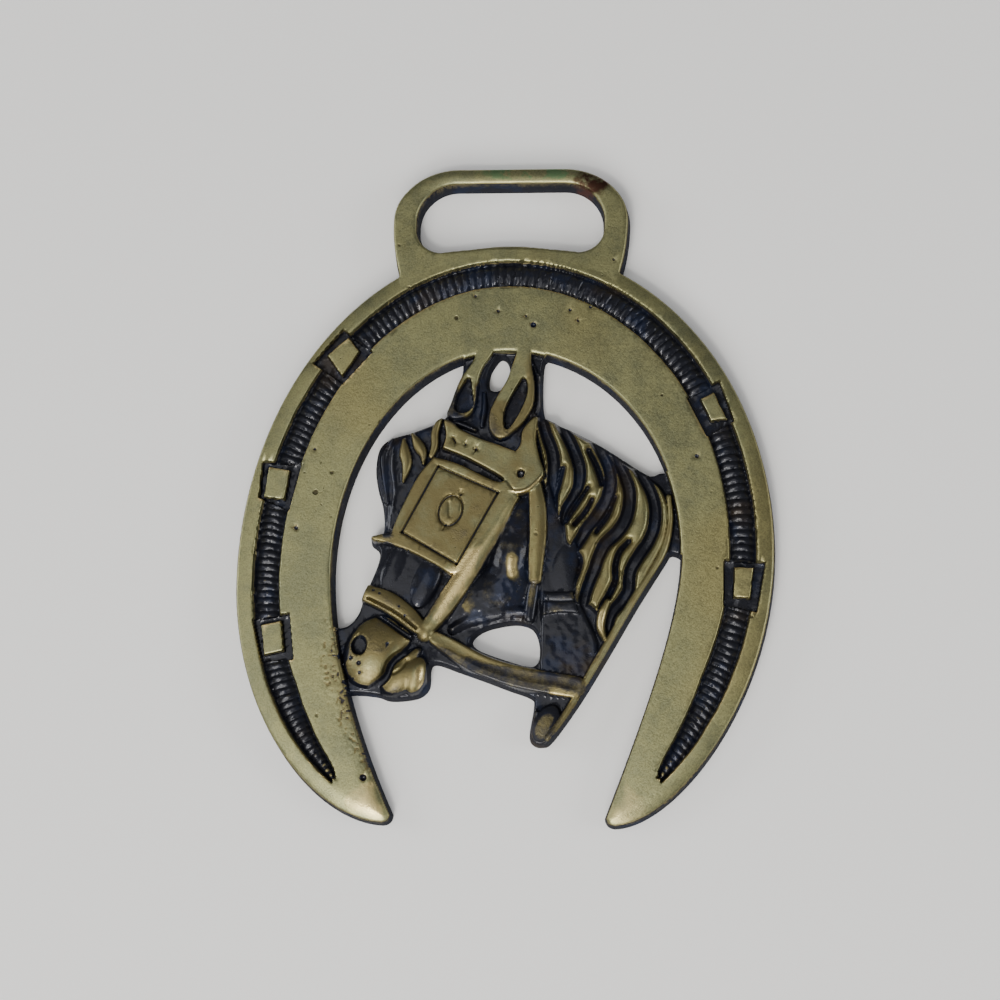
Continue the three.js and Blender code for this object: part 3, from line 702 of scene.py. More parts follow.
    def _plate(self, relief: Relief, inside: np.ndarray) -> None:
        """Raises the plate, lower along its lip, towards its tips and at the dots of its sore place.

        Args:
            relief: The relief to work on.
            inside: Distance to the horseshoe's edge.
        """
        grid = relief.grid
        plate = FACE - edge_drop(inside, 0.5)
        lip = np.clip(1.0 - area_distance(grid.x, grid.y, self.outer_edge()) / self.lip, 0.0, 1.0)
        plate -= self.lip_fall * lip**2
        tip = smooth_step(-27.0, -43.0, grid.y)
        crest = np.clip(1.0 - inside / 2.6, 0.0, 1.0)
        plate -= 0.45 * tip * crest**2 + 0.55 * smooth_step(-33.0, -49.0, grid.y)
        plate -= 0.07 * grid.patches(self.tarnished) * self.speckle(grid)
        plate += 0.02 * grid.cloud(6.0, Lattice.PLATE) + 0.01 * grid.cloud(2.2, Lattice.PLATE_DIMPLES)
        relief.height = np.maximum(relief.height, plate)
        relief.level = np.where(inside > 0.0, plate, relief.level)

    def _groove(self, relief: Relief, inside: np.ndarray) -> None:
        """Cuts the groove down to its cord.

        The cord's floor is crowned across and each rib is a power of |cos| along, so ribs are round and the
        furrows between them sharp. The ribs' count at a place is the sum of 1 / pitch along the way to it.

        Args:
            relief: The relief to work on.
            inside: Distance to the horseshoe's edge.
        """
        grid, (nearest, farthest) = relief.grid, self.groove_reach
        reach = (inside > nearest) & (inside < farthest)
        way, away, length = self.along_edge(grid, reach)
        to_end = np.minimum(way, length - way) - self.groove_end
        share = 0.15 + 0.85 * np.sqrt(np.clip(to_end / self.groove_taper, 0.0, 1.0))
        width = self.groove_width * np.minimum(1.0, share)
        wobble = 0.04 * grid.cloud(2.4, Lattice.GROOVE_EDGE, reach)
        across = (away - self.lip) / width
        within = np.minimum(np.minimum(away - self.lip, self.lip + width - away), to_end * 0.6) + wobble
        lean = 0.22 * (across - 0.5)
        stops = np.linspace(0.0, length, 240)
        rate = 1.0 / np.interp(stops, np.linspace(0.0, length, len(self.rib_pitches)), self.rib_pitches)
        turns = np.concatenate(([0.0], np.cumsum(0.5 * (rate[1:] + rate[:-1]) * np.diff(stops))))
        phase = np.interp(way + lean, stops, turns) + 0.12 * grid.cloud(1.6, Lattice.RIBS, reach)
        rib = np.abs(np.cos(math.pi * phase)) ** 0.8
        hump = 1.0 - np.clip(2.0 * across - 1.0, -1.0, 1.0) ** 2
        cord = self.groove_floor + self.groove_crown * hump * (0.55 + 0.45 * rib) + 0.05 * (rib - 0.5)
        cord += 0.05 * grid.cloud(0.45, Lattice.CORD, reach)
        cord += self.groove_steep * np.maximum(-within, 0.0)
        relief.height[reach] = -soft_max(-relief.height[reach], -cord, self.groove_blend)

    def _nails(self, relief: Relief) -> None:
        """Widens the groove to a box round each nail and sets the nail's head in it, level with the face."""
        grid = relief.grid
        for box, head in zip(self.nail_boxes, self.nail_heads):
            sharp = [(px, py, SHARP) for px, py in box]
            relief.cut_area(sharp, self.groove_floor, steep=6.0, blend=0.05)
            at, keep = grid.in_area(outline([(px, py, SHARP) for px, py in head]), 0.8)
            keep = keep + 0.05 * grid.cloud(0.9, Lattice.NAIL_EDGE, at)
            relief.height[at] = np.maximum(relief.height[at], FACE + 0.02 - edge_drop(keep, 0.16, 7.0))


@dataclass
class StrapLoop:
    """The frame above the arch, with its slot for the strap."""

    half: float = 16.0
    top_y: float = 44.0
    shoulder_y: float = 36.3
    corner: float = 9.0
    foot: Place = (15.0, 29.0)
    low_y: float = 26.0
    slot_half: float = 12.4
    slot_top: float = 41.3
    slot_bottom: float = 32.1
    slot_corner: float = 5.2
    slot_low_corner: float = 3.2
    slot_crown: float = 0.6
    # The top bar's lower part is brightened: a painted highlight over rubbed brass.
    rubbed_and_highlit: Sequence[Patch] = (
        (((-9.5, 42.4), (8.6, 42.6), (9.6, 41.3), (-10.4, 41.3)), 0.42, 0.7),
    )

    def loop_ring(self) -> np.ndarray:
        """The loop's outline: sides that swell to the shoulders, and round corners to a straight top."""
        foot, low = self.foot
        rise = self.top_y - self.shoulder_y
        right = np.vstack([
            [(foot, low - 4)],
            quadratic((foot, low), (self.half, low + 3.5), (self.half, self.shoulder_y)),
            arc((self.half - self.corner, self.shoulder_y), (self.corner, rise), 0, 90)[1:],
        ])
        return np.vstack([right, right[::-1] * (-1, 1)])

    def slot_ring(self) -> np.ndarray:
        """The slot's outline: a crowned lower edge, small lower corners, wide upper ones, a straight top."""
        low, wide = self.slot_low_corner, self.slot_corner
        base, half = self.slot_bottom, self.slot_half
        crown = quadratic((-half + low, base), (0, base + 2 * self.slot_crown), (half - low, base))
        lower = arc((half - low, base + low), (low, low), -90, 0)[1:]
        upper = arc((half - wide, self.slot_top - wide), (wide, wide), 0, 90)
        right = np.vstack([lower, upper])
        return np.vstack([crown, right, right[::-1] * (-1, 1)])

    def model(self, relief: Relief, loop: np.ndarray, slot: np.ndarray) -> None:
        """Raises the loop.

        Args:
            relief: The relief to work on.
            loop: Distance to the loop's outline.
            slot: Distance to the slot's outline, positive in the slot.
        """
        grid = relief.grid
        inside = np.minimum(loop, -slot)
        round_bar = 0.30 * smooth_step(38.5, 41.0, grid.y) * (1.0 - np.clip(inside / 1.35, 0.0, 1.0)) ** 2
        uneven = 0.03 * grid.cloud(4.0, Lattice.LOOP)
        top = FACE - edge_drop(inside, 0.6) - round_bar - 0.02 + uneven
        above = grid.y > self.low_y
        relief.height = soft_max(relief.height, np.where(above, top, NOTHING), 0.2)
        relief.level = np.where(above & (inside > 0.0), top, relief.level)


@dataclass
class HorseHead:
    """The bridled head, with all its parts in relief on one ground."""

    ground: Points = (
        (-4.6, 20), (-6.2, 15.4), (-7, 12.6), (-7.9, 10), (-8.8, 9), (-12.5, 7.4), (-15.2, 6.6),
        (-16.8, 5.2), (-17.3, 2.6), (-16.9, -0.2), (-16.1, -3), (-16, -6.2), (-17.4, -6.9), (-17.4, -7.8),
        (-16.4, -8.8), (-16.6, -10.8), (-18.2, -14.8), (-18.9, -17), (-20.4, -18.6), (-24, -19.5),
        (-24, -28), (-19.4, -27.5), (-16, -27.7), (-14.3, -28.2), (-12, -28.1), (-10.2, -27.6),
        (-9.2, -26.4), (-9.1, -24), (-8.2, -23.5), (-5.5, -24.4), (-2, -25.6), (1, -26.7), (3.8, -27.7),
        (4.2, -28.7), (3.7, -32.4), (4.2, -33.6), (5.4, -33.9), (6.8, -33.1), (10.3, -28.1), (13.9, -22),
        (17.3, -16), (20.8, -10.3), (21.8, -9), (24.6, -9.2), (24.6, 1.4), (20.6, 2), (19.2, 1.6),
        (17.8, 2.2), (12, 5.9), (6, 8.9), (5, 9.6), (4.7, 12), (4.8, 16.4), (5.5, 17.5), (7, 20),
    )
    jaw_hole: Points = (
        (-3.8, -20.3), (-2.4, -19.1), (0, -18.4), (2.2, -18.2), (3.9, -18.8), (4.7, -20.4), (4.8, -22.4),
        (4.2, -23.4), (2.8, -23.4), (0.4, -22.7), (-2, -21.9), (-3.4, -21.2),
    )
    ear_hole: Points = (
        (-1.1, 17.4), (-0.2, 17.2), (0.2, 16), (-0.2, 14.2), (-1.3, 13.1), (-2.4, 13.6), (-2.3, 15.5),
    )

    pits: Points = (
        (-18.1, -23.7, 0.6), (-19.2, -23.0, 0.5), (-18.0, -24.9, 0.4), (-14.5, -21.2, 0.35),
        (-16.6, -14.2, 0.35), (-15.8, -14.6, 0.3), (-13.2, -16.3, 0.3), (-12.4, -17.5, 0.3),
        (-5.6, -1.6, 0.25), (-12.2, -9.0, 0.25),
    )
    tarnished: Sequence[Patch] = (
        (((-17.2, -21.3), (-17.5, -20.2), (-18.7, -20.1), (-19.4, -21.2), (-18.9, -22.4),
          (-17.6, -22.5)), 1.0, 0.25),
        (((-19.8, -20.0), (-16.0, -18.2), (-11.8, -20.2), (-14.0, -23.0), (-17.6, -23.2),
          (-19.8, -22.6)), 0.55, 1.0),
        (((-17.6, 7.0), (-8.0, 10.4), (5.0, 11.0), (22.4, 2.0), (22.4, -9.0), (6.0, -35.0), (2.0, -26.0),
          (-20.4, -28.6), (-21.0, -18.0), (-17.6, -6.0)), 0.46, 0.5),
        (((3.6, -28.6), (8.6, -29.0), (6.0, -34.4), (3.4, -34.0)), 0.64, 0.5),
        (((-18.6, -13.0), (-10.4, -17.6), (-9.6, -20.2), (-12.0, -21.2), (-19.0, -17.0)), 0.54, 0.5),
        (((-16.6, -7.6), (-6.8, -12.2), (-9.6, -17.8), (-13.0, -15.0), (-17.8, -13.2)), 0.95, 0.6),
        (((1.8, -1.4), (3.3, -2.0), (3.4, -18.6), (-4, -19.6), (-8.6, -19.4), (-3.6, -11.6)), 0.80, 0.8),
        (((2.8, -12.8), (5.2, -12.8), (5.2, -18.6), (2.4, -18.6)), 0.74, 0.7),
        (((4.9, -13.6), (9.9, -13.4), (10.4, -17.2), (4.9, -17.6)), 0.80, 0.7),
        (((4.8, -17.0), (12.6, -17.0), (13.2, -20.6), (11.6, -23.6), (4.8, -23.6)), 0.8, 0.6),
        (((-9.0, -20.6), (-2.2, -23.2), (10.0, -25.0), (9.4, -28.2), (-2.2, -26.0),
          (-9.0, -23.0)), 0.72, 0.5),
        (((-17.2, 6.8), (-14.2, 6.6), (-13.9, -5.6), (-16.4, -6.2)), 0.85, 0.6),
        (((-14.6, 7.4), (-8.6, 9.2), (-9.4, 2.0), (-14.2, -1.0)), 0.50, 0.6),
        (((2.6, 18.4), (5.0, 18.4), (5.0, 8.8), (2.6, 8.8)), 0.50, 0.8),
        (((-8.6, 18.8), (-5.0, 17.2), (-5.9, 14.0), (-5.0, 9.4), (-4.0, 8.2), (-8.6, 8.2)), 0.72, 0.7),
        (((-4.2, 13.4), (-2.7, 12.6), (-2.7, 9.0), (-1.6, 6.2), (-4.6, 7.2), (-7.8, 8.4), (-7.4, 9.4),
          (-4.8, 9.4)), 0.84, 0.5),
        (((-2.4, 10.6), (0.8, 7.4), (2.6, 7.6), (-0.6, 5.6), (-2.6, 6.8)), 0.55, 0.6),
        (((2.4, 5.0), (5.4, 1.0), (4.4, 9.6), (2.2, 9.4)), 0.36, 0.7),
        (((3.6, 9.6), (12.4, 6.0), (20.2, 2.0), (19.6, -0.4), (12.0, 3.2), (3.8, 6.6)), 0.52, 0.9),
        (((-20.6, -18.6), (-17.2, -17.4), (-18.6, -19.8), (-20.0, -24.4), (-21.2, -24.0)), 0.80, 0.5),
        (((-9.6, -21.8), (-8.4, -24.8), (-10.6, -28.6), (-15.6, -28.8), (-14.0, -26.4),
          (-10.8, -26.0)), 0.60, 0.6),
    )
    calm: Sequence[Patch] = (
        (((3.2, 9.8), (12.4, 6.2), (20.4, 2.2), (22.2, -4.0), (21.0, -9.0), (13.6, -21.6), (9.2, -15.6),
          (10.0, -10.0), (6.8, -5.0), (3.4, 2.0)), 0.96, 0.6),
        (((-16.6, -21.3), (-17.4, -19.4), (-19.4, -19.4), (-20.2, -22.0), (-18.4, -23.2),
          (-17.0, -22.8)), 0.9, 0.4),
        (((-8.6, 18.0), (-3.0, 17.6), (-2.8, 8.0), (-8.6, 8.0)), 0.75, 0.6),
        (((-16.8, 6.8), (-9.6, 8.6), (-10.2, 0.0), (-15.2, -6.0)), 0.75, 0.6),
    )
    # Places brightened: some are rubbed brass, most are painted highlights on the cheek, the straps, the
    # buckle, the lip, the lock ends, the back ridge, the stub, the muzzle and the horseshoe's tips.
    rubbed_and_highlit: Sequence[Patch] = (
        (((0.8, -9.8), (1.6, -9.8), (1.8, -12.0), (0.9, -12.2)), 0.95, 0.6),
        (((-5.2, -16.4), (-3.8, -15.4), (-3.2, -16.2), (-4.8, -17.4)), 0.35, 0.8),
        (((-6.9, -11.4), (-3.0, -8.0), (-2.6, -9.6), (-7.0, -17.2), (-8.8, -17.8),
          (-7.8, -14.6)), 0.92, 0.9),
        (((-3.2, -8.2), (0.2, -3.0), (0.8, -4.0), (-2.6, -9.8)), 0.50, 0.8),
        (((-19.6, -41.2), (-16.0, -38.2), (-13.9, -43.0), (-16.6, -43.8)), 0.68, 1.8),
        (((19.4, -41.4), (16.2, -38.6), (13.9, -43.0), (16.6, -43.8)), 0.55, 1.8),
        (((3.4, 8.6), (12.0, 5.0), (19.4, 1.0), (21.0, -4.0), (20.0, -9.0), (13.6, -20.0), (9.6, -14.8),
          (10.0, -10.0), (7.0, -5.0), (4.0, 2.0)), 0.27, 0.6),
        (((-8.0, 8.4), (-3.6, 6.4), (2.0, 4.6), (4.2, 8.4), (5.0, 1.0), (1.6, -0.8),
          (-8.0, 4.8)), 0.24, 0.6),
        (((0.8, -1.2), (2.4, -1.5), (4.9, 0.4), (4.9, 1.2), (3.0, -0.2), (1.0, -0.6)), 0.60, 0.4),
        (((3.6, -6.0), (4.2, -6.0), (4.4, -12.0), (3.4, -12.0)), 0.40, 0.6),
        (((-17.6, -25.8), (-15.0, -24.4), (-14.2, -22.8), (-16.4, -23.2)), 0.16, 0.9),
        (((-10.8, -24.2), (-9.8, -24.0), (-9.8, -26.4), (-10.8, -26.8)), 0.85, 0.5),
        (((12.4, -16.6), (13.4, -17.0), (13.0, -20.2), (12.0, -19.0)), 0.65, 0.5),
        (((20.0, -9.8), (21.0, -9.8), (12.4, -24.4), (11.4, -24.0)), 0.40, 0.5),
        (((6.8, -26.6), (9.6, -27.4), (9.2, -28.4), (6.4, -27.6)), 0.45, 0.4),
    )

    def area(self, grid: Grid) -> np.ndarray:
        """Distance to the head's edge over the grid, positive inside and out of its two holes."""
        inside = np.full(grid.x.shape, NOTHING)
        at, solid = grid.in_area(outline(self.ground), 2.0)
        for hole in (self.jaw_hole, self.ear_hole):
            solid = np.minimum(solid, -area_distance(grid.x[at], grid.y[at], outline(hole)))
        inside[at] = solid
        return inside

    def model(self, relief: Relief, inside: np.ndarray) -> None:
        """Raises every part of the head in the order in which they overlap.

        Args:
            relief: The relief to work on.
            inside: Distance to the head's edge.
        """
        grid = relief.grid
        ground = GROUND + 0.1 * grid.cloud(2.5, Lattice.GROUND) - edge_drop(inside, 0.35)
        relief.height = np.maximum(relief.height, ground)
        self.neck(relief)
        self.mane(relief)
        self.forelock(relief)
        self.ears(relief)
        self.face(relief)
        self.muzzle(relief)
        self.browband(relief)
        self.blinker(relief)
        self.straps(relief)
        relief.dot(self.pits)

    def neck(self, relief: Relief) -> None:
        """The neck below the mane, its collar of folds and the stub under the rein."""
        field = (
            (5.4, 0), (6.6, -2), (7.6, -5), (9.8, -8.4), (9.6, -14), (12.4, -20.6), (11.2, -25), (5.4, -25),
            (5, -18), (4.6, -12),
        )
        relief.pad(field, GROUND + 0.4, radius=0.6, steep=2.0, blend=0.3)
        collar = (
            (5.3, -14.2, SHARP), (9.2, -14.0, SHARP), (9.6, -15.6), (9.9, -16.9, SHARP), (7.4, -16.8),
            (5.2, -17.2, SHARP),
        )
        relief.pad(collar, 2.6, radius=0.45, steep=3.0)
        relief.engrave(((5.4, -15.2), (7.4, -15.3), (9.4, -15.2)), 0.5, 0.2, smooth=True)
        relief.engrave(((5.7, -14.4), (5.9, -16.9)), 0.4, 0.15)
        relief.dome((8.0, -11.0), 80, (3.2, 1.7), 2.35, 0.5)
        grid = relief.grid
        at, inside = grid.in_area(outline(field), 0.5)
        rough = smooth_step(0.0, 0.8, inside) * smooth_step(-15.0, -18.0, grid.y[at])
        grain = 0.02 * grid.cloud(0.35, Lattice.NECK_GRAIN, at)
        relief.height[at] += rough * (0.035 * grid.cloud(0.7, Lattice.NECK, at) + grain)
        ridge = (
            (21.3, -1.6, 0.7), (21.5, -4.6, 0.8), (20.9, -8.0, 1.0), (19.6, -10.8, 1.1), (17.6, -13.9, 1.1),
            (15.6, -17.3, 1.1), (13.4, -21.2, 1.1), (11.6, -24.4, 1.1), (9.6, -28.0, 1.1),
            (7.6, -31.2, 1.1), (6.2, -32.9, 0.9),
        )
        relief.strip(ridge, 2.95, crown=0.35, steep=4.0)
        relief.dome((5.7, -31.4), 62, (3.0, 1.7), 2.62, 0.6, blend=0.5)
        stub = (
            (4.6, -29.6, 0.7), (4.2, -31.4, 0.7), (4.3, -33.0, 0.7), (5.4, -33.5, 0.7), (6.4, -32.7, 0.6),
        )
        relief.strip(stub, 2.5, crown=0.4, steep=3.0)

    def mane(self, relief: Relief) -> None:
        """The wavy locks: one raised field, parted by slits, with finer slits on the locks."""
        field = (
            (3.7, 8.8), (5.2, 8.9), (8.3, 7.3), (12.0, 5.1), (15.3, 2.8), (18.4, 1.0), (20.2, -0.4),
            (21.3, -2.8), (21.3, -5.7), (20.4, -8.8), (17.4, -14.2),
            (14.0, -20.6, SHARP), (12.9, -20.2), (12.4, -18.4),
            (12.0, -16.6), (10.6, -15.6), (9.4, -15.5), (9.3, -13.4), (10.2, -10.4), (9.6, -8.8),
            (8.1, -7.6), (7.8, -5.4), (6.8, -3.8), (5.9, -1.6), (4.8, 1), (4.1, 4), (3.4, 7.2),
        )
        slits = (
            ((3.5, 7.6, 0.65), (4.1, 4.6, 0.89), (4.8, 1.2, 0.94)),
            ((4.7, 9.2, 1.06), (5.3, 6.8, 1.24), (6.2, 4.3, 1.36), (6.4, 2.3, 1.42), (6.3, 0.3, 1.47),
             (6.1, -2.3, 1.47), (6.2, -5.4, 1.53)),
            ((7.1, 8.4, 1.18), (8.6, 5.5, 1.30), (9.5, 3.2, 1.36), (9.8, 1.7, 1.30), (9.6, -0.3, 1.18),
             (8.8, -1.8, 0.94), (7.9, -3.4, 0.83), (7.5, -5.2, 0.71)),
            ((7.5, 2.2, 0.44), (7.0, 0.4, 0.71), (6.5, -1.4, 0.71)),
            ((10.9, 4.6, 0.44), (12.0, 2.3, 0.55), (12.7, 0.2, 0.50)),
            ((11.6, 6.0, 1.18), (13.3, 3.0, 1.30), (13.8, 0.7, 1.36), (13.4, -1.7, 1.42),
             (12.2, -4.0, 1.42), (10.9, -5.6, 1.30), (10.1, -7.0, 1.18), (9.1, -8.6, 1.06),
             (8.6, -9.4, 1.06)),
            ((10.8, -0.4, 0.24), (9.3, -2.8, 0.33), (8.0, -4.9, 0.33)),
            ((11.4, -2.0, 0.22), (10.5, -3.7, 0.31), (9.2, -5.2, 0.31)),
            ((14.2, 4.4, 1.18), (15.6, 1.2, 1.30), (16.2, -0.7, 1.36), (16.2, -2.7, 1.42),
             (15.7, -4.7, 1.42), (14.6, -6.4, 1.42), (13.2, -7.8, 1.36), (12.4, -9.4, 1.30),
             (11.8, -11.2, 1.30), (10.8, -14.0, 1.18), (10.4, -16.4, 1.06), (10.6, -18.0, 1.06)),
            ((14.4, -1.6, 0.22), (13.5, -4.0, 0.31), (12.0, -6.2, 0.28)),
            ((16.2, -7.5, 0.28), (15.0, -8.9, 0.44), (14.5, -10.7, 0.50), (14.5, -12.6, 0.50),
             (13.6, -14.7, 0.55), (12.7, -16.6, 0.55), (12.4, -18.8, 0.55)),
            ((17.3, 2.0, 1.06), (18.5, 0.2, 1.18), (19.3, -1.7, 1.24), (19.6, -3.7, 1.30),
             (19.4, -5.7, 1.30), (18.7, -7.5, 1.30), (17.6, -9.2, 1.30), (16.6, -10.9, 1.30),
             (16.3, -12.2, 1.30), (16.2, -13.8, 1.30), (15.3, -15.4, 1.24), (14.2, -16.7, 1.18),
             (13.7, -18.2, 1.06), (13.7, -19.9, 0.94)),
        )
        relief.waves(field, slits, 3.08, GROUND + 0.05, 0.62)
        lock = ((13.6, -15.4, 0.9), (12.9, -17.0, 1.2), (12.7, -18.6, 1.1), (13.2, -20.1, 0.7))
        relief.strip(lock, 3.15, crown=0.5, steep=3.0)

    def forelock(self, relief: Relief) -> None:
        """The forelock in front of the browband: a low rough mass with lighter locks."""
        mass = (
            (-9.4, 8.2), (-13.5, 6.6), (-16.2, 4.8), (-16.5, 1.6), (-15.4, -2.2), (-15.2, -6), (-13.6, -5),
            (-10.6, 1), (-9, 5),
        )
        relief.pad(mass, GROUND + 0.35, radius=0.8, steep=2.0, blend=0.3)
        locks = (
            (((-13.4, 6.0, 0.5), (-13.2, 4.2, 1.5), (-12.9, 2.6, 1.3), (-13.3, 0.4, 0.35)), 2.95, 0.35),
            (((-12.3, 6.8, 0.4), (-11.4, 5.2, 1.5), (-10.8, 4.1, 1.1), (-10.7, 2.8, 0.35)), 2.95, 0.35),
            (((-8.7, 8.8, 0.7), (-9.3, 7.0, 0.95), (-9.3, 5.2, 0.95), (-9.7, 3.8, 0.7)), FACE, 0.2),
            (((-15.0, 6.2, 0.5), (-16.0, 4.0, 1.0), (-15.9, 1.6, 0.9), (-15.3, -2.4, 0.6)), 2.35, 0.3),
            (((-14.7, 5.4, 0.3), (-14.8, 2.6, 0.6), (-14.4, -0.6, 0.5), (-14.6, -3.8, 0.3)), 2.3, 0.3),
        )
        for line, top, crown in locks:
            relief.strip(line, top, crown)

    def ears(self, relief: Relief) -> None:
        """Both ears: flat rims that run into the arch, with a deep hollow in each."""
        near = (
            (1.6, 19.5), (1.1, 17.4), (0.3, 15), (-0.3, 13.5), (-1.3, 11.7), (-2.1, 9.8), (-2.2, 8.1),
            (-1.9, 7), (-1.1, 6.2), (0, 6.3), (1.0, 7.1), (2.1, 8.1), (3.1, 9.7), (3.6, 11.2), (3.6, 14),
            (3.2, 16.3), (3.1, 19.5),
        )
        far = (
            (-4.0, 19.5), (-4.3, 17.2), (-5, 15.9), (-5.9, 14.6), (-7, 12.3), (-7.8, 10), (-7.4, 9),
            (-6.4, 8.8), (-5, 9.2), (-4.2, 10.4), (-3.9, 12.4), (-3.7, 14.3), (-3.2, 15.8), (-2.4, 17),
            (-1.8, 18.2), (-2, 19.5),
        )
        relief.pad(near, FACE, radius=0.3)
        relief.pad(far, FACE, radius=0.3)
        hollow = (
            (2.2, 14.2), (2.6, 13.2), (2.4, 11.6), (1.6, 9.7), (0.3, 7.6), (-0.1, 8.4), (0, 10),
            (0.7, 11.7), (1.4, 13),
        )
        far_hollow = (
            (-5, 14.2), (-5.9, 13), (-6.5, 11.4), (-6.6, 10.2), (-5.6, 9.8), (-4.5, 10.6), (-4.7, 12.6),
        )
        relief.cut_area(hollow, GROUND, steep=5.0)
        relief.cut_area(far_hollow, GROUND, steep=5.0)
        ridges = (
            (((3.0, 17.4, 0.4), (4.1, 14.4, 0.5), (4.2, 11.6, 0.5), (3.9, 9.8, 0.4)), 2.3),
            (((-3.0, 12.4, 0.6), (-2.9, 10.4, 0.8), (-3.2, 8.0, 0.6)), 2.35),
            (((-7.2, 8.6, 0.6), (-5.6, 8.1, 0.7), (-4.0, 7.4, 0.5)), 2.45),
        )
        for line, top in ridges:
            relief.strip(line, top, 0.3, steep=3.0)

    def face(self, relief: Relief) -> None:
        """The nose bridge behind the blinker, the cheek and the edge of the jaw."""
        swells = (
            ((-12.4, -11.4), 62, (8.4, 5.2), 2.40, 1.0, 0.4),
            ((-9.8, -12.6), 68, (4.0, 1.7), 2.85, 1.0, 0.5),
            ((-14.2, -10.8), 70, (3.4, 1.3), 2.60, 0.7, 0.5),
            ((0.9, -9.2), 80, (8.4, 3.0), 3.15, 2.2, 0.6),
            ((-1.4, -14.2), 32, (6.6, 3.6), 2.95, 2.0, 0.7),
            ((1.0, -9.5), 78, (3.3, 1.8), 3.38, 1.3, 0.5),
        )
        for swell in swells:
            relief.dome(*swell)
        edge = (
            (-6.3, -19.0, 1.4), (-4.3, -17.8, 1.9), (-1.6, -17.0, 2.0), (1.4, -16.6, 1.9),
            (3.6, -16.9, 1.4),
        )
        relief.strip(edge, 2.45, crown=0.8, steep=2.0, blend=0.5)
        lumpy = (
            (((-17, -7), (-6, -12), (-9, -19), (-18, -15)), 0.35),
            (((1.5, -2), (3.5, -2), (3.6, -18.4), (-8, -18.8)), 1.0),
        )
        for points, most in lumpy:
            at, inside = relief.grid.in_area(outline(points), 1.0)
            share = most * smooth_step(-0.8, 0.8, inside)
            lumps = 0.045 * relief.grid.cloud(0.5, Lattice.CHEEK_LUMPS, at)
            relief.height[at] += share * (0.05 * relief.grid.cloud(1.1, Lattice.CHEEK, at) + lumps)

    def muzzle(self, relief: Relief) -> None:
        """The muzzle with its nostril and mouth, and the lower lip and chin."""
        swells = (
            ((-16.3, -22.0), 64, (5.0, 3.9), 3.90, 2.35),
            ((-14.0, -20.6), 20, (2.6, 1.9), 3.35, 1.6, 0.5),
            ((-12.6, -25.2), 38, (3.5, 2.1), 3.35, 2.1),
            ((-10.9, -25.0), 75, (2.7, 1.6), 3.45, 2.0, 0.5),
            ((-11.9, -22.9), 40, (2.2, 0.9), 2.9, 1.2),
        )
        for swell in swells:
            relief.dome(*swell)
        mouth = (
            (-10.6, -20.6, 0.7), (-12.4, -22.2, 0.5), (-13.9, -23.6, 0.35), (-14.8, -25.5, 0.5),
            (-16.6, -27.0, 0.8),
        )
        relief.cut_line(mouth, 1.9, steep=2.6)
        relief.engrave(((-12.0, -23.2), (-12.6, -24.2), (-13.6, -24.9)), 0.6, 0.22, smooth=True)
        nostril = (
            (-17.5, -21.3), (-17.8, -20.5), (-18.6, -20.4), (-19.0, -21.2), (-18.7, -22.1), (-17.9, -22.2),
        )
        relief.cut_area(nostril, 2.3, steep=3.0)

    def browband(self, relief: Relief) -> None:
        """The browband with its three dents, the rosette, and the buckle ridge under it."""
        band = (
            (-8.1, 8.6), (-6.9, 8.3), (-6.1, 7.5), (-4.0, 6.4), (-1.0, 5.3), (1.4, 4.4, SHARP),
            (2.0, 5.4), (2.2, 7.0), (2.9, 8.2), (4.1, 9.0), (4.0, 6.0), (4.5, 3.6), (5.1, 1.2), (3.6, -0.5),
            (1.6, -0.9), (0.2, 0.2), (-0.8, 1.2), (-5.0, 3.5), (-8.2, 4.8, SHARP), (-7.8, 6.6),
        )
        relief.pad(band, 3.12, radius=0.3)
        dents = (
            (((-6.9, 6.2), (-6.5, 5.5)), 0.4, 0.35),
            (((-5.2, 5.35), (-5.2, 5.25)), 0.45, 0.35),
            (((-4.1, 4.7), (-3.5, 4.5)), 0.32, 0.3),
            (((-3.7, 4.9), (-3.9, 4.3)), 0.32, 0.3),
        )
        for line, width, depth in dents:
            relief.engrave(line, width, depth)
        relief.cut_area(((1.75, 1.5), (2.1, 1.75), (2.5, 1.5), (2.3, 1.0), (1.9, 1.0)), 2.35, steep=4.0)
        buckle = ((0.6, -0.9, 0.4), (1.9, -1.1, 0.6), (3.2, -0.7, 0.6), (4.1, 0.1, 0.6), (4.7, 0.9, 0.4))
        relief.strip(buckle, 3.35, crown=0.25)

    def blinker(self, relief: Relief) -> None:
        """The blinker plate with its engraved frame and small oval, and the spur at its lower left corner."""
        plate = (
            (-9.3, 3.6, SHARP), (-6.0, 2.6), (-1.4, 0.4), (0.3, 0.4, SHARP), (2.0, -1.8, SHARP),
            (-1.4, -8.0), (-3.4, -11.2),
            (-6.7, -12.0, SHARP), (-9.0, -10.6), (-12.4, -8.9), (-15.4, -7.9), (-17.0, -7.5),
            (-16.9, -6.9), (-14.6, -6.6, SHARP), (-13.4, -3.4), (-11.3, 1.0),
        )
        relief.pad(plate, BLINKER_TOP, radius=0.3)
        corners = ((-8.7, 2.3), (-0.8, -1.2), (-5.9, -10.7), (-13.2, -6.5))
        top, right, low, left = corners
        for a, b in ((top, right), (top, left), (left, low), (right, low)):
            relief.engrave((a, b), 0.42, 0.38)
        turns = np.linspace(0, 2 * math.pi, 12, endpoint=False)
        lean = math.radians(-18)
        c, s = math.cos(lean), math.sin(lean)
        u, v = 1.5 * np.cos(turns), 2.05 * np.sin(turns)
        oval = np.stack([-6.9 + u * c - v * s, -3.6 + u * s + v * c], 1)
        relief.engrave([tuple(p) for p in oval], 0.42, 0.34, smooth=True, closed=True)
        strokes = (
            (((-5.75, -1.3), (-5.65, -1.2)), 0.95, 0.3),
            (((-7.1, -2.6), (-7.0, -4.4)), 0.5, 0.12),
            (((-7.5, -5.5), (-7.8, -6.1)), 0.3, 0.25),
        )
        for line, width, depth in strokes:
            relief.engrave(line, width, depth)

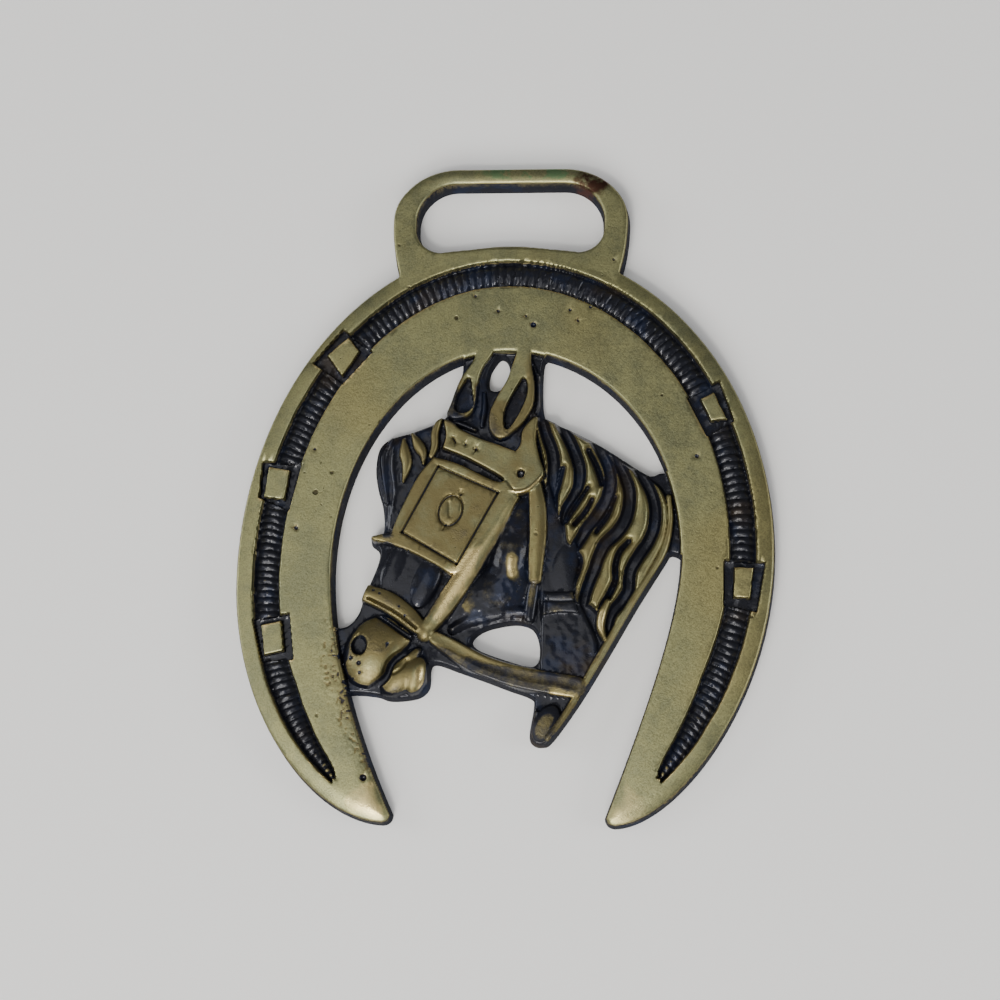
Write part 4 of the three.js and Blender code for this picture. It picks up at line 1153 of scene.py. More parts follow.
    def straps(self, relief: Relief) -> None:
        """Cheek strap, throat strap, noseband with its engraved line, bit and rein."""
        cheek = (
            (0.9, -2.3, 1.4), (-0.6, -5.2, 2.0), (-2.4, -8.2, 2.4), (-4.4, -11.4, 2.7), (-6.2, -14.2, 2.7),
            (-7.8, -16.6, 2.5), (-9.4, -18.8, 1.9),
        )
        relief.strip(cheek, 3.4, crown=0.4)
        throat = ((4.0, -0.2, 1.7), (4.4, -3.2, 2.2), (4.5, -6.8, 2.2), (4.3, -9.8, 2.0), (4.2, -12.4, 1.7))
        relief.strip(throat, 3.1, crown=0.25)
        relief.strip(((4.1, -12.6, 1.6), (3.8, -14.8, 1.6), (3.5, -17.4, 1.5)), 2.6, crown=0.4, steep=3.0)
        nose = (
            (-17.6, -14.5, 2.2), (-15.4, -15.3, 2.6), (-13.2, -16.6, 2.6), (-11.2, -18.3, 2.2),
            (-10.2, -19.3, 1.4),
        )
        relief.strip(nose, 3.3, crown=0.3)
        middle = ((-17.3, -15.2), (-14.6, -16.5), (-12.7, -17.7), (-10.9, -19.1))
        relief.engrave(middle, 0.42, 0.42, smooth=True)
        under = ((-18.4, -16.2, 0.3), (-15.3, -17.8, 0.35), (-12.9, -19.4, 0.4), (-11.4, -20.4, 0.4))
        relief.cut_line(under, 2.1)
        rein = (
            (-8.4, -20.3, 1.7), (-6.4, -21.5, 2.2), (-4.4, -22.7, 2.5), (-2.2, -23.8, 2.6),
            (0.4, -24.7, 2.7), (3.4, -25.4, 2.8), (6.4, -25.9, 2.8), (9.6, -26.4, 2.8),
        )
        relief.strip(rein, 3.0, crown=0.12)
        relief.engrave([(x, y + 0.25) for x, y, _ in rein], 1.3, 0.10, smooth=True)
        relief.dome((-9.7, -19.6), 40, (1.3, 1.1), 3.3, 1.2, blend=0.2)


@dataclass
class Cells:
    """Square cells on the grid: large where the surface is plain, small where it has detail.

    A cell of size n is 2^n steps of the grid wide. Cells that share an edge differ by one size at most.
    """

    size: np.ndarray
    sizes: ClassVar[int] = 3
    outside: ClassVar[int] = 9

    @classmethod
    def fitted(cls, keep: np.ndarray, surfaces: Sequence[Tuple[np.ndarray, float]]) -> "Cells":
        """Chooses the cells.

        A cell may be large where it lies wholly inside and each surface in it stays close to the straight
        blend of its values at the corners.

        Args:
            keep: Values over the grid, positive inside.
            surfaces: Values over the grid, each with the most that it may leave the blend.

        Returns:
            The cells.
        """
        size = np.where(cls._blocks(keep, 1).max(axis=(2, 3)) > 0, 0, cls.outside)
        fits = np.ones(size.shape, bool)
        for power in range(1, cls.sizes + 1):
            fits = fits.reshape(fits.shape[0] // 2, 2, fits.shape[1] // 2, 2).all(axis=(1, 3))
            fits &= cls._blocks(keep, 2**power).min(axis=(2, 3)) > 0
            for values, slack in surfaces:
                fits &= cls._bend(values, 2**power) < slack
            size[cls._spread(fits, 2**power)] = power
        cells = cls(size)
        while cells._evened():
            pass
        return cells

    @staticmethod
    def _blocks(values: np.ndarray, width: int) -> np.ndarray:
        """The values in each block of the grid that is width steps wide, its edges included."""
        return np.lib.stride_tricks.sliding_window_view(values, (width + 1, width + 1))[::width, ::width]

    @staticmethod
    def _spread(flags: np.ndarray, width: int) -> np.ndarray:
        """Flags of blocks as flags of the smallest cells in them."""
        return np.repeat(np.repeat(flags, width, axis=0), width, axis=1)

    @classmethod
    def _bend(cls, values: np.ndarray, width: int) -> np.ndarray:
        """How far the values in each block leave the straight blend of its corners."""
        block = cls._blocks(values, width)
        u = np.linspace(0.0, 1.0, width + 1)
        low = block[:, :, :1, :1] * (1 - u) + block[:, :, :1, -1:] * u
        high = block[:, :, -1:, :1] * (1 - u) + block[:, :, -1:, -1:] * u
        blend = low * (1 - u[:, None]) + high * u[:, None]
        return np.abs(block - blend).max(axis=(2, 3))

    def _evened(self) -> bool:
        """Splits cells that lie next to cells more than one size smaller; true where it found any."""
        found = False
        for power in range(2, self.sizes + 1):
            width = 2**power
            rows, columns = self.size.shape[0] // width, self.size.shape[1] // width
            framed = np.pad(self.size, 1, constant_values=self.outside)
            i, j = np.arange(rows) * width, np.arange(columns) * width
            beside = [framed[i, 1:-1], framed[i + width + 1, 1:-1]]
            lowest = np.minimum(*(side.reshape(rows, columns, width).min(axis=2) for side in beside))
            beside = [framed[1:-1, j], framed[1:-1, j + width + 1]]
            sides = (side.reshape(rows, width, columns).min(axis=1) for side in beside)
            lowest = np.minimum(lowest, np.minimum(*sides))
            split = (self.size[::width, ::width] == power) & (lowest < power - 1)
            self.size[self._spread(split, width)] = power - 1
            found = found or bool(split.any())
        return found

    def triangles(self, power: int) -> np.ndarray:
        """Triangles of the cells of one size above the smallest.

        A cell is cut along its diagonal, or in a fan round its middle where smaller cells lie beside it.

        Args:
            power: The size.

        Returns:
            Triangles of grid numbers.
        """
        width, columns = 2**power, self.size.shape[1] + 1
        i, j = np.nonzero(self.size[::width, ::width] == power)
        i, j = i * width, j * width
        framed = np.pad(self.size, 1, constant_values=self.outside)

        def number(rise: float, step: float) -> np.ndarray:
            return (i + int(rise * width)) * columns + j + int(step * width)

        corners = [number(0, 0), number(0, 1), number(1, 1), number(1, 0)]
        mids = [number(0, 0.5), number(0.5, 1), number(1, 0.5), number(0.5, 0)]
        finer = [
            framed[i, j + 1] < power,
            framed[i + 1, j + width + 1] < power,
            framed[i + width + 1, j + 1] < power,
            framed[i + 1, j] < power,
        ]
        plain = ~np.any(finer, axis=0)
        a, b, c, d = (corner[plain] for corner in corners)
        found = [np.stack([a, b, c], 1), np.stack([a, c, d], 1)]
        middle = number(0.5, 0.5)
        for side, (mid, small) in enumerate(zip(mids, finer)):
            start, end = corners[side], corners[(side + 1) % 4]
            whole = ~small & ~plain
            found.append(np.stack([middle[whole], start[whole], end[whole]], 1))
            found.append(np.stack([middle[small], start[small], mid[small]], 1))
            found.append(np.stack([middle[small], mid[small], end[small]], 1))
        return np.vstack(found)


@dataclass
class Shell:
    """A closed triangle mesh around the relief, with drafted walls and a flat back."""

    vertices: np.ndarray
    faces: np.ndarray
    plain: np.ndarray
    # Spacing of the back's points, least height of the top, and the walls' rows as shares of the way down.
    back_spacing: ClassVar[float] = 1.0
    thinnest: ClassVar[float] = 0.4
    wall_rows: ClassVar[Sequence[float]] = (0.45, 1.0)
    # Least distance to the clipping line in steps of the grid, least slope, and how near points merge.
    least_share: ClassVar[float] = 0.06
    least_slope: ClassVar[float] = 1e-6
    merging: ClassVar[float] = 1e-7

    @staticmethod
    def around(relief: Relief, inside: np.ndarray, cells: Cells) -> "Shell":
        """Builds the shell.

        The grid's triangles are clipped where the distance to the edge equals the draft. From that rim, walls
        lean outwards by the draft down to the flat back.

        Args:
            relief: The heights of the top.
            inside: Distance to the whole outline at the back, positive inside.
            cells: The cells of the top.

        Returns:
            The shell.
        """
        grid = relief.grid
        x, y, top, plain = Shell._clip(grid, inside - DRAFT, cells)
        z = np.maximum(grid.sample(relief.height, x, y), Shell.thinnest)
        slope_y, slope_x = np.gradient(inside, grid.spacing)
        edges = Shell._rim(top)
        rim = np.unique(edges)
        nx, ny = grid.sample(slope_x, x[rim], y[rim]), grid.sample(slope_y, x[rim], y[rim])
        size = np.maximum(np.hypot(nx, ny), Shell.least_slope)
        nx, ny = nx / size, ny / size
        order = np.full(len(x), -1)
        order[rim] = np.arange(len(rim))
        edges = order[edges]
        spots, filled = Shell._filling(grid, inside, np.stack([x[rim], y[rim]], 1), edges)
        places, rows, count = [np.stack([x, y, z], 1)], [rim], len(x)
        for down in Shell.wall_rows:
            out_x, out_y = nx * DRAFT * down, ny * DRAFT * down
            places.append(np.stack([x[rim] - out_x, y[rim] - out_y, z[rim] * (1 - down)], 1))
            rows.append(count + np.arange(len(rim)))
            count += len(rim)
        places.append(np.hstack([spots, np.zeros((len(spots), 1))]))
        faces = [top, filled[:, ::-1] + (count - len(rim))]
        a, b = edges.T
        for upper, lower in zip(rows[:-1], rows[1:]):
            faces.append(np.stack([upper[b], upper[a], lower[a]], 1))
            faces.append(np.stack([upper[b], lower[a], lower[b]], 1))
        return Shell(np.vstack(places), np.vstack(faces), plain)

    @staticmethod
    def _filling(
        grid: Grid, inside: np.ndarray, rim: np.ndarray, edges: np.ndarray
    ) -> Tuple[np.ndarray, np.ndarray]:
        """Fills the rim with triangles, over the rim's own points and a coarse pattern of points between.

        The triangles kept are those along the rim's edges and all that can be reached from them without
        crossing it.

        Args:
            grid: The grid.
            inside: Distance to the outline over it.
            rim: The rim's places.
            edges: The rim's edges, as pairs of its places.

        Returns:
            The places added, and the triangles over the rim's places followed by the added ones.
        """
        step = max(1, round(Shell.back_spacing / grid.spacing))
        x, y, room = (values[::step, ::step].ravel() for values in (grid.x, grid.y, inside))
        spots = np.stack([x, y], 1)[room > DRAFT + 0.6 * Shell.back_spacing]
        places = np.vstack([rim, spots])
        points = [Vector(place) for place in places.tolist()]
        _, _, faces, origin, _, _ = delaunay_2d_cdt(points, edges.tolist(), [], 0, Shell.merging)
        faces = np.array([numbers[0] for numbers in origin])[np.array(faces)]
        total = len(places)
        sides = np.stack([faces, np.roll(faces, -1, axis=1)], axis=2)
        forward, backward, along = sides @ (total, 1), sides @ (1, total), edges @ (total, 1)
        kept = np.isin(forward, along).any(axis=1)
        open_side = ~(np.isin(forward, along) | np.isin(backward, along))
        number = np.unique(np.minimum(forward, backward), return_inverse=True)[1].reshape(-1, 3)
        while True:
            reached = np.zeros(number.max() + 1, bool)
            reached[number[kept][open_side[kept]]] = True
            grown = kept | (reached[number] & open_side).any(axis=1)
            if (grown == kept).all():
                return spots, faces[kept]
            kept = grown

    @staticmethod
    def _rim(faces: np.ndarray) -> np.ndarray:
        """The directed edges that only one triangle has."""
        edges = np.vstack([faces[:, [0, 1]], faces[:, [1, 2]], faces[:, [2, 0]]])
        big = int(faces.max()) + 1
        key = np.minimum(edges[:, 0], edges[:, 1]) * big + np.maximum(edges[:, 0], edges[:, 1])
        _, back, count = np.unique(key, return_inverse=True, return_counts=True)
        return edges[count[back] == 1]

    @staticmethod
    def _clip(
        grid: Grid, keep: np.ndarray, cells: Cells
    ) -> Tuple[np.ndarray, np.ndarray, np.ndarray, np.ndarray]:
        """Triangles of the cells where keep is positive, clipped along its zero line.

        Values close to zero count as just inside, so that no sliver is cut.

        Args:
            grid: The grid.
            keep: Values over it.
            cells: Its cells.

        Returns:
            The vertices' x and y, the triangles, and the numbers of the large cells' vertices.
        """
        rows, columns = keep.shape
        value = keep.ravel().copy()
        least = Shell.least_share * grid.spacing
        value[np.abs(value) < least] = least
        ids = np.arange(rows * columns).reshape(rows, columns)
        small = cells.size == 0
        a, b, c, d = ids[:-1, :-1][small], ids[:-1, 1:][small], ids[1:, 1:][small], ids[1:, :-1][small]
        tri = np.vstack([np.stack([a, b, c], 1), np.stack([a, c, d], 1)])
        live = value[tri] > 0
        count = live.sum(axis=1)
        whole = tri[count == 3]
        pick = np.arange(3)
        one = tri[count == 1]
        turn = np.argmax(live[count == 1], axis=1)[:, None]
        one = np.take_along_axis(one, (pick + turn) % 3, axis=1)
        two = tri[count == 2]
        turn = np.argmin(live[count == 2], axis=1)[:, None]
        two = np.take_along_axis(two, (pick + turn) % 3, axis=1)
        total = rows * columns
        pairs = np.vstack([one[:, [0, 1]], one[:, [0, 2]], two[:, [0, 1]], two[:, [0, 2]]])
        low, high = pairs.min(axis=1), pairs.max(axis=1)
        key, first, back = np.unique(low * total + high, return_index=True, return_inverse=True)
        low, high = low[first], high[first]
        t = value[low] / (value[low] - value[high])
        gx, gy = grid.x.ravel(), grid.y.ravel()
        x = np.concatenate([gx, gx[low] + t * (gx[high] - gx[low])])
        y = np.concatenate([gy, gy[low] + t * (gy[high] - gy[low])])
        cut = total + back
        n1, n2 = len(one), len(two)
        c01, c02 = cut[:n1], cut[n1 : 2 * n1]
        d01, d02 = cut[2 * n1 : 2 * n1 + n2], cut[2 * n1 + n2 :]
        large = np.vstack([cells.triangles(power) for power in range(2, cells.sizes + 1)])
        faces = np.vstack([
            large,
            cells.triangles(1),
            whole,
            np.stack([one[:, 0], c01, c02], 1),
            np.stack([d01, two[:, 1], two[:, 2]], 1),
            np.stack([d01, two[:, 2], d02], 1),
        ])
        used, faces = np.unique(faces, return_inverse=True)
        return x[used], y[used], faces.reshape(-1, 3), np.searchsorted(used, np.unique(large))

    def mesh(self, name: str) -> bpy.types.Mesh:
        """The shell as a mesh in metres."""
        mesh = bpy.data.meshes.new(name)
        mesh.vertices.add(len(self.vertices))
        mesh.vertices.foreach_set("co", (self.vertices * MM).astype(np.float32).ravel())
        mesh.loops.add(3 * len(self.faces))
        mesh.loops.foreach_set("vertex_index", self.faces.astype(np.int32).ravel())
        mesh.polygons.add(len(self.faces))
        mesh.polygons.foreach_set("loop_start", np.arange(0, 3 * len(self.faces), 3, dtype=np.int32))
        mesh.update(calc_edges=True)
        return mesh


Value = Union["Wire", float, Tuple[float, ...]]


class Wire:
    """A shader socket that can be used in sums and products."""

    def __init__(self, tree: "Nodes", socket: bpy.types.NodeSocket) -> None:
        """Wraps a socket of a tree."""
        self.tree, self.socket = tree, socket

    def __add__(self, other: Value) -> "Wire":
        """Self plus other."""
        return self.tree.math("ADD", self, other)

    def __sub__(self, other: Value) -> "Wire":
        """Self less other."""
        return self.tree.math("SUBTRACT", self, other)

    def __rsub__(self, other: Value) -> "Wire":
        """Other less self."""
        return self.tree.math("SUBTRACT", other, self)

    def __mul__(self, other: Value) -> "Wire":
        """Self times other."""
        return self.tree.math("MULTIPLY", self, other)

    def __truediv__(self, other: Value) -> "Wire":
        """Self divided by other."""
        return self.tree.math("DIVIDE", self, other)

    __radd__ = __add__
    __rmul__ = __mul__


class Nodes:
    """A material's node tree."""

    def __init__(self, name: str) -> None:
        """Starts a material with an empty tree."""
        self.material = bpy.data.materials.new(name)
        self.material.use_nodes = True
        self.tree = self.material.node_tree
        self.tree.nodes.clear()

    def node(self, kind: str, settings: Optional[Dict[str, Any]] = None, **sockets: Any) -> bpy.types.Node:
        """Adds a node.

        Args:
            kind: The node's type.
            settings: Its properties, set before its sockets.
            sockets: Values or wires of its inputs; names have _ for spaces, and i0, i1 count inputs.

        Returns:
            The node.
        """
        made = self.tree.nodes.new(kind)
        for key, value in (settings or {}).items():
            setattr(made, key, value)
        for key, value in sockets.items():
            counted = key[0] == "i" and key[1:].isdigit()
            target = made.inputs[int(key[1:])] if counted else made.inputs[key.replace("_", " ")]
            if isinstance(value, Wire):
                self.tree.links.new(value.socket, target)
            else:
                target.default_value = value
        return made

    def math(self, operation: str, *values: Value) -> Wire:
        """A Math node's result."""
        sockets = {f"i{i}": v for i, v in enumerate(values)}
        return Wire(self, self.node("ShaderNodeMath", {"operation": operation}, **sockets).outputs[0])

    def step(self, value: Wire, low: float, high: float) -> Wire:
        """A smooth rise from 0 at low to 1 at high."""
        settings = {"interpolation_type": "SMOOTHSTEP", "clamp": True}
        return Wire(self, self.node("ShaderNodeMapRange", settings, i0=value, i1=low, i2=high).outputs[0])

    def colour(self, factor: Value, a: Value, b: Value) -> Wire:
        """A mix of two colours."""
        made = self.node("ShaderNodeMix", {"data_type": "RGBA"}, i0=factor, i6=a, i7=b)
        return Wire(self, made.outputs[2])

    def noise(self, place: Wire, scale: float, detail: float = 3.0, roughness: float = 0.5) -> Wire:
        """Cloudy values around 0.5."""
        made = self.node("ShaderNodeTexNoise", Vector=place, Scale=scale, Detail=detail, Roughness=roughness)
        return Wire(self, made.outputs[0])

    def spots(self, place: Wire, scale: float) -> Wire:
        """Distance to the nearest of scattered points, in units of their spacing."""
        made = self.node("ShaderNodeTexVoronoi", {"feature": "F1"}, Vector=place, Scale=scale)
        return Wire(self, made.outputs[0])

    def attribute(self, name: str) -> Wire:
        """A number kept on the mesh."""
        return Wire(self, self.node("ShaderNodeAttribute", {"attribute_name": name}).outputs[2])

    def object_place(self) -> Wire:
        """Place on the piece, in metres."""
        return Wire(self, self.node("ShaderNodeTexCoord").outputs["Object"])

    def finish(self, **sockets: Any) -> bpy.types.Material:
        """Ends the tree with a Principled shader.

        Args:
            sockets: Values or wires of its inputs.

        Returns:
            The material.
        """
        shader = self.node("ShaderNodeBsdfPrincipled", **sockets)
        output = self.node("ShaderNodeOutputMaterial")
        self.tree.links.new(shader.outputs[0], output.inputs[0])
        return self.material


Colour = Tuple[float, float, float, float]


@dataclass(frozen=True)
class AgedBrass:
    """Old brass: dull olive faces, near-black hollows, walls darkened with painted shade, a painted blue
    sheen, bright edges partly rubbed and partly painted highlights, and a few stains.
    """

    face: Colour = (0.362, 0.352, 0.172, 1.0)
    face_dull: Colour = (0.268, 0.272, 0.150, 1.0)
    face_warm: Colour = (0.40, 0.335, 0.130, 1.0)
    tarnished: Colour = (0.205, 0.172, 0.078, 1.0)
    # Bright brass for rubbed places and for painted highlights.
    rubbed_and_highlit: Colour = (0.78, 0.62, 0.28, 1.0)
    grime_and_shade: Colour = (0.012, 0.013, 0.019, 1.0)
    # The tint of a painted blue sheen, a reflection's colour, in the hollows and on the walls.
    painted_blue_sheen: Colour = (0.010, 0.020, 0.055, 1.0)
    grime_brown: Colour = (0.035, 0.024, 0.014, 1.0)
    verdigris: Colour = (0.13, 0.25, 0.12, 1.0)
    stain: Colour = (0.055, 0.020, 0.016, 1.0)
    verdigris_patch: Tuple[Place, Place] = ((3.0, 43.2), (7.0, 1.3))
    stain_patch: Tuple[Place, Place] = ((11.0, 41.8), (2.5, 2.0))
    bump_depth: float = 0.00008
    # Scale, detail and roughness of the cloudy, mottled, fine, grainy and broad patterns.
    patterns: Sequence[Tuple[float, float, float]] = (
        (110.0, 4.0, 0.55), (520.0, 5.0, 0.65), (2600.0, 3.0, 0.6), (5200.0, 2.0, 0.7), (45.0, 2.0, 0.5),
    )

    @staticmethod
    def _patch(tree: Nodes, place: Wire, centre: Place, half: Place) -> Wire:
        """A soft ragged patch: 1 inside an ellipse, 0 outside it.

        Args:
            tree: The tree to work in.
            place: Place on the piece.
            centre: The ellipse's middle, in millimetres.
            half: Its half axes.

        Returns:
            The patch's mask.
        """
        split = tree.node("ShaderNodeSeparateXYZ", Vector=place)
        x, y = Wire(tree, split.outputs[0]), Wire(tree, split.outputs[1])
        u = (x - centre[0] * MM) / (half[0] * MM)
        v = (y - centre[1] * MM) / (half[1] * MM)
        ragged = tree.noise(place, 900.0, 4.0, 0.6)
        return 1.0 - tree.step(u * u + v * v + ragged * 1.6, 1.3, 2.1)

    def material(self) -> bpy.types.Material:
        """Builds the material from the mesh's grime with painted shade, its wear with painted highlights, and
        from patterns on its own place.
        """
        tree = Nodes("aged_brass")
        place = tree.object_place()
        cloudy, mottle, fine, grain, broad = (tree.noise(place, *pattern) for pattern in self.patterns)
        face = tree.colour(tree.step(cloudy * 0.5 + mottle * 0.5, 0.36, 0.62), self.face_dull, self.face)
        face = tree.colour(tree.step(broad, 0.54, 0.70) * 0.45, face, self.face_warm)
        face = tree.colour(tree.step(grain, 0.60, 0.35) * 0.30, face, self.grime_brown)
        sparse = tree.step(cloudy, 0.60, 0.44)
        # The mark holds grime, and on the walls and the rim painted shade, made uneven by noise.
        mark = tree.attribute("grime_and_shade") + (mottle - 0.5) * 0.35 + (fine - 0.5) * 0.15 + (cloudy - 0.5) * 0.20
        tarnish, grime_and_shade = tree.step(mark, 0.22, 0.52), tree.step(mark, 0.50, 0.80)
        pits = 1.0 - tree.step(tree.spots(place, 420.0) + mottle * 0.35 + sparse * 0.6, 0.24, 0.34)
        specks = tree.spots(place, 1150.0) + mottle * 0.9 + sparse * 0.5 - tarnish * 0.12
        pits = tree.math("MAXIMUM", pits, (1.0 - tree.step(specks, 0.42, 0.50)) * 0.8)
        face = tree.colour(pits * 0.8, face, self.grime_brown)
        # Wear and painted highlights mix towards the bright brass.
        wear_and_highlight = tree.step(tree.attribute("wear_and_highlight") + (mottle - 0.5) * 0.25, 0.25, 0.85)
        dulled = tree.colour(tarnish * (1.0 - pits * 0.7), face, self.tarnished)
        brass = tree.colour(wear_and_highlight, dulled, self.rubbed_and_highlit)
        dirt_shade_and_sheen = tree.colour(tree.step(cloudy, 0.56, 0.74) * 0.7, self.grime_and_shade, self.grime_brown)
        # A painted blue sheen in the dark colour: the bluish tint of a reflection.
        blue_sheen = tree.step(tree.noise(place, 240.0, 3.0, 0.6), 0.50, 0.66) * 0.42
        dirt_shade_and_sheen = tree.colour(blue_sheen, dirt_shade_and_sheen, self.painted_blue_sheen)
        # Grime, with painted shade on the walls and the rim, mixes towards the dark colour.
        colour = tree.colour(grime_and_shade, brass, dirt_shade_and_sheen)
        green = self._patch(tree, place, *self.verdigris_patch)
        colour = tree.colour(green * tree.step(mottle, 0.42, 0.54) * 0.80, colour, self.verdigris)
        red = self._patch(tree, place, *self.stain_patch)
        colour = tree.colour(red * tree.step(mottle, 0.30, 0.50) * 0.95, colour, self.stain)
        crust = tree.step(tree.attribute("side"), 0.1, 0.6)
        metallic = 1.0 - grime_and_shade * 0.55 - crust * 0.45
        roughness = 0.38 + (mottle - 0.5) * 0.30 + (fine - 0.5) * 0.12 - grime_and_shade * 0.13 - wear_and_highlight * 0.12
        roughness = roughness + tarnish * 0.06 + crust * 0.50
        height = grain * 0.25 + fine * 0.45 + mottle * 0.7 * (grime_and_shade * 2.9 + 0.4) - pits * 1.1
        bump = tree.node("ShaderNodeBump", Strength=0.6, Distance=self.bump_depth, Height=height)
        return tree.finish(
            Base_Color=colour, Metallic=metallic, Roughness=roughness, Normal=Wire(tree, bump.outputs[0]),
            Specular_IOR_Level=0.15, Coat_Weight=grime_and_shade * (1.0 - crust) * 0.42, Coat_Roughness=0.13,
        )


@dataclass(frozen=True)
class PaleTable:
    """The plain floor's finish."""

    colour: Colour = (0.97, 0.965, 0.95, 1.0)

    def material(self) -> bpy.types.Material:
        """Builds the material."""
        return Nodes("pale_table").finish(Base_Color=self.colour, Roughness=0.75)


@dataclass
class Casting:
    """The whole brass as one piece."""

    grid_spacing: float = 0.125
    most_triangles: int = 192000
    height_slack: float = 0.006
    stain_slack: float = 0.08
    # Grime on the rim's outermost strip is painted shade, a dark outline; on the walls it is patina with
    # painted shade; on the back it is dull patina.
    rim_painted_shade: float = 0.7
    wall_patina_and_shade: float = 1.0
    back_grime: float = 0.42
    hollow_reach: float = 0.45
    edge_reach: float = 0.14
    sharp_angle: float = 60.0
    shoe: Horseshoe = field(default_factory=Horseshoe)
    loop: StrapLoop = field(default_factory=StrapLoop)
    head: HorseHead = field(default_factory=HorseHead)
    finish: AgedBrass = field(default_factory=AgedBrass)

    def build(self) -> bpy.types.Object:
        """Works out the relief, wraps the shell round it, thins it and dresses it.

        Returns:
            The piece.
        """
        grid = Grid(spacing=self.grid_spacing * 1.0)
        relief = Relief(grid)
        shoe = self.shoe.area(grid)
        loop_ring, slot_ring = self.loop.loop_ring(), self.loop.slot_ring()
        loop, slot = np.full(grid.x.shape, NOTHING), np.full(grid.x.shape, NOTHING)
        at = grid.window(loop_ring, 3.0)
        loop[at] = area_distance(grid.x[at], grid.y[at], loop_ring)
        slot[at] = area_distance(grid.x[at], grid.y[at], slot_ring)
        head = self.head.area(grid)
        inside = np.maximum(np.maximum(shoe, np.minimum(loop, -slot)), head)
        self.head.model(relief, head)
        self.loop.model(relief, loop, slot)
        self.shoe.model(relief, shoe)
        relief.height -= edge_drop(inside - DRAFT, 0.3, 0.0)
        stains = self._stains(relief, inside)
        surfaces = [(relief.height, self.height_slack)]
        surfaces += [(values, self.stain_slack) for values in stains.values()]
        piece = self._thinned(Shell.around(relief, inside, Cells.fitted(inside - DRAFT, surfaces)))
        self._dress(piece, relief, inside, stains)
        return piece

    def _thinned(self, shell: Shell) -> bpy.types.Object:
        """Makes the piece from the shell, thinned to the most triangles outside its plain stretches.

        Args:
            shell: The full shell.

        Returns:
            The piece.
        """
        full = shell.mesh(PIECE)
        piece = bpy.data.objects.new(PIECE, full)
        bpy.context.scene.collection.objects.link(piece)
        count = len(full.polygons)
        if count > self.most_triangles:
            group = piece.vertex_groups.new(name="detail")
            detail = np.ones(len(shell.vertices), bool)
            detail[shell.plain] = False
            group.add(np.flatnonzero(detail).tolist(), 1.0, "REPLACE")
            thin = piece.modifiers.new("thin", "DECIMATE")
            thin.ratio = self.most_triangles / count
            thin.vertex_group, thin.vertex_group_factor = group.name, 1.0
            evaluated = piece.evaluated_get(bpy.context.evaluated_depsgraph_get())
            piece.data = bpy.data.meshes.new_from_object(evaluated)
            piece.modifiers.clear()
            piece.vertex_groups.clear()
            bpy.data.meshes.remove(full)
        piece.data.name = PIECE
        log.info("%s: %d triangles, from %d", PIECE, len(piece.data.polygons), count)
        return piece

    def _stains(self, relief: Relief, inside: np.ndarray) -> Dict[str, np.ndarray]:
        """Works out where grime gathers and where the brass is bright, rubbed or with painted highlights.

        Grime gathers where the relief lies below its own blurred surface or deep below the face; wear shows
        where it stands above it, and edges whose surface falls towards +Y get a painted highlight as well.
        Areas drawn as tarnished add grime, the brightened ones add wear and painted highlights, calm ones
        take the edges' wear and highlight away, and every pit is full of grime.

        Args:
            relief: The relief.
            inside: Distance to the whole outline.

        Returns:
            Shares of grime, and of wear with painted highlights, over the grid.
        """
        grid = relief.grid
        mask = (inside > DRAFT).astype(float)
        height = np.where(mask > 0, relief.height, 0.0)
        reaches = (max(1, round(reach / grid.spacing)) for reach in (self.hollow_reach, self.edge_reach))
        around, close = (
            blurred(height * mask, cells) / np.maximum(blurred(mask, cells), 1e-3) for cells in reaches
        )
        hollow = np.where(mask > 0, around - relief.height, 0.0)
        proud = np.where(mask > 0, relief.height - close, 0.0)
        deep = smooth_step(0.25, 0.60, relief.level - relief.height)
        grime_and_shade = np.clip(deep * 0.9 + smooth_step(0.05, 0.30, hollow) * 0.9, 0, 1)
        grime_and_shade *= 1 - 0.15 * smooth_step(0.02, 0.09, proud)
        off_shoe = smooth_step(0.35, -0.05, self.shoe.area(grid))
        tarnish = grid.patches(self.head.tarnished) * off_shoe
        tarnish += 0.10 * grid.cloud(1.7, Lattice.TARNISH) * (tarnish > 0.1)
        rubbed_and_highlit = grid.patches([*self.head.rubbed_and_highlit, *self.loop.rubbed_and_highlit])
        tarnish *= 1 - 0.85 * rubbed_and_highlit
        grime_and_shade = np.maximum(grime_and_shade, tarnish)
        sore = grid.patches(self.shoe.tarnished)
        grime_and_shade = np.maximum(grime_and_shade, sore * (0.46 + 0.54 * self.shoe.speckle(grid)))
        # Edges whose surface falls towards +Y get a painted highlight on top of their wear.
        painted_lip_highlight = smooth_step(0.15, 0.75, -np.gradient(blurred(height * mask, 1), grid.spacing, axis=0))
        patchy = 0.5 + 0.5 * grid.cloud(3.0, Lattice.WORN_LIPS)
        lip_wear_and_highlight = (0.12 + 0.25 * patchy + 0.45 * painted_lip_highlight) * smooth_step(0.03, 0.12, proud)
        calm = np.maximum(grid.patches(self.head.calm), 0.8 * deep)
        wear_and_highlight = 0.9 * rubbed_and_highlit + lip_wear_and_highlight * (1 - 0.4 * smooth_step(0.1, 0.4, tarnish)) * (1 - calm)
        for px, py, width in [*self.shoe.pits, *self.head.pits]:
            away = np.hypot(grid.x - px, grid.y - py) - 0.5 * width
            grime_and_shade = np.maximum(grime_and_shade, smooth_step(0.15, -0.05, away))
            wear_and_highlight *= smooth_step(0.0, 0.4, away)
        return {"grime_and_shade": grime_and_shade, "wear_and_highlight": np.clip(wear_and_highlight, 0, 1)}

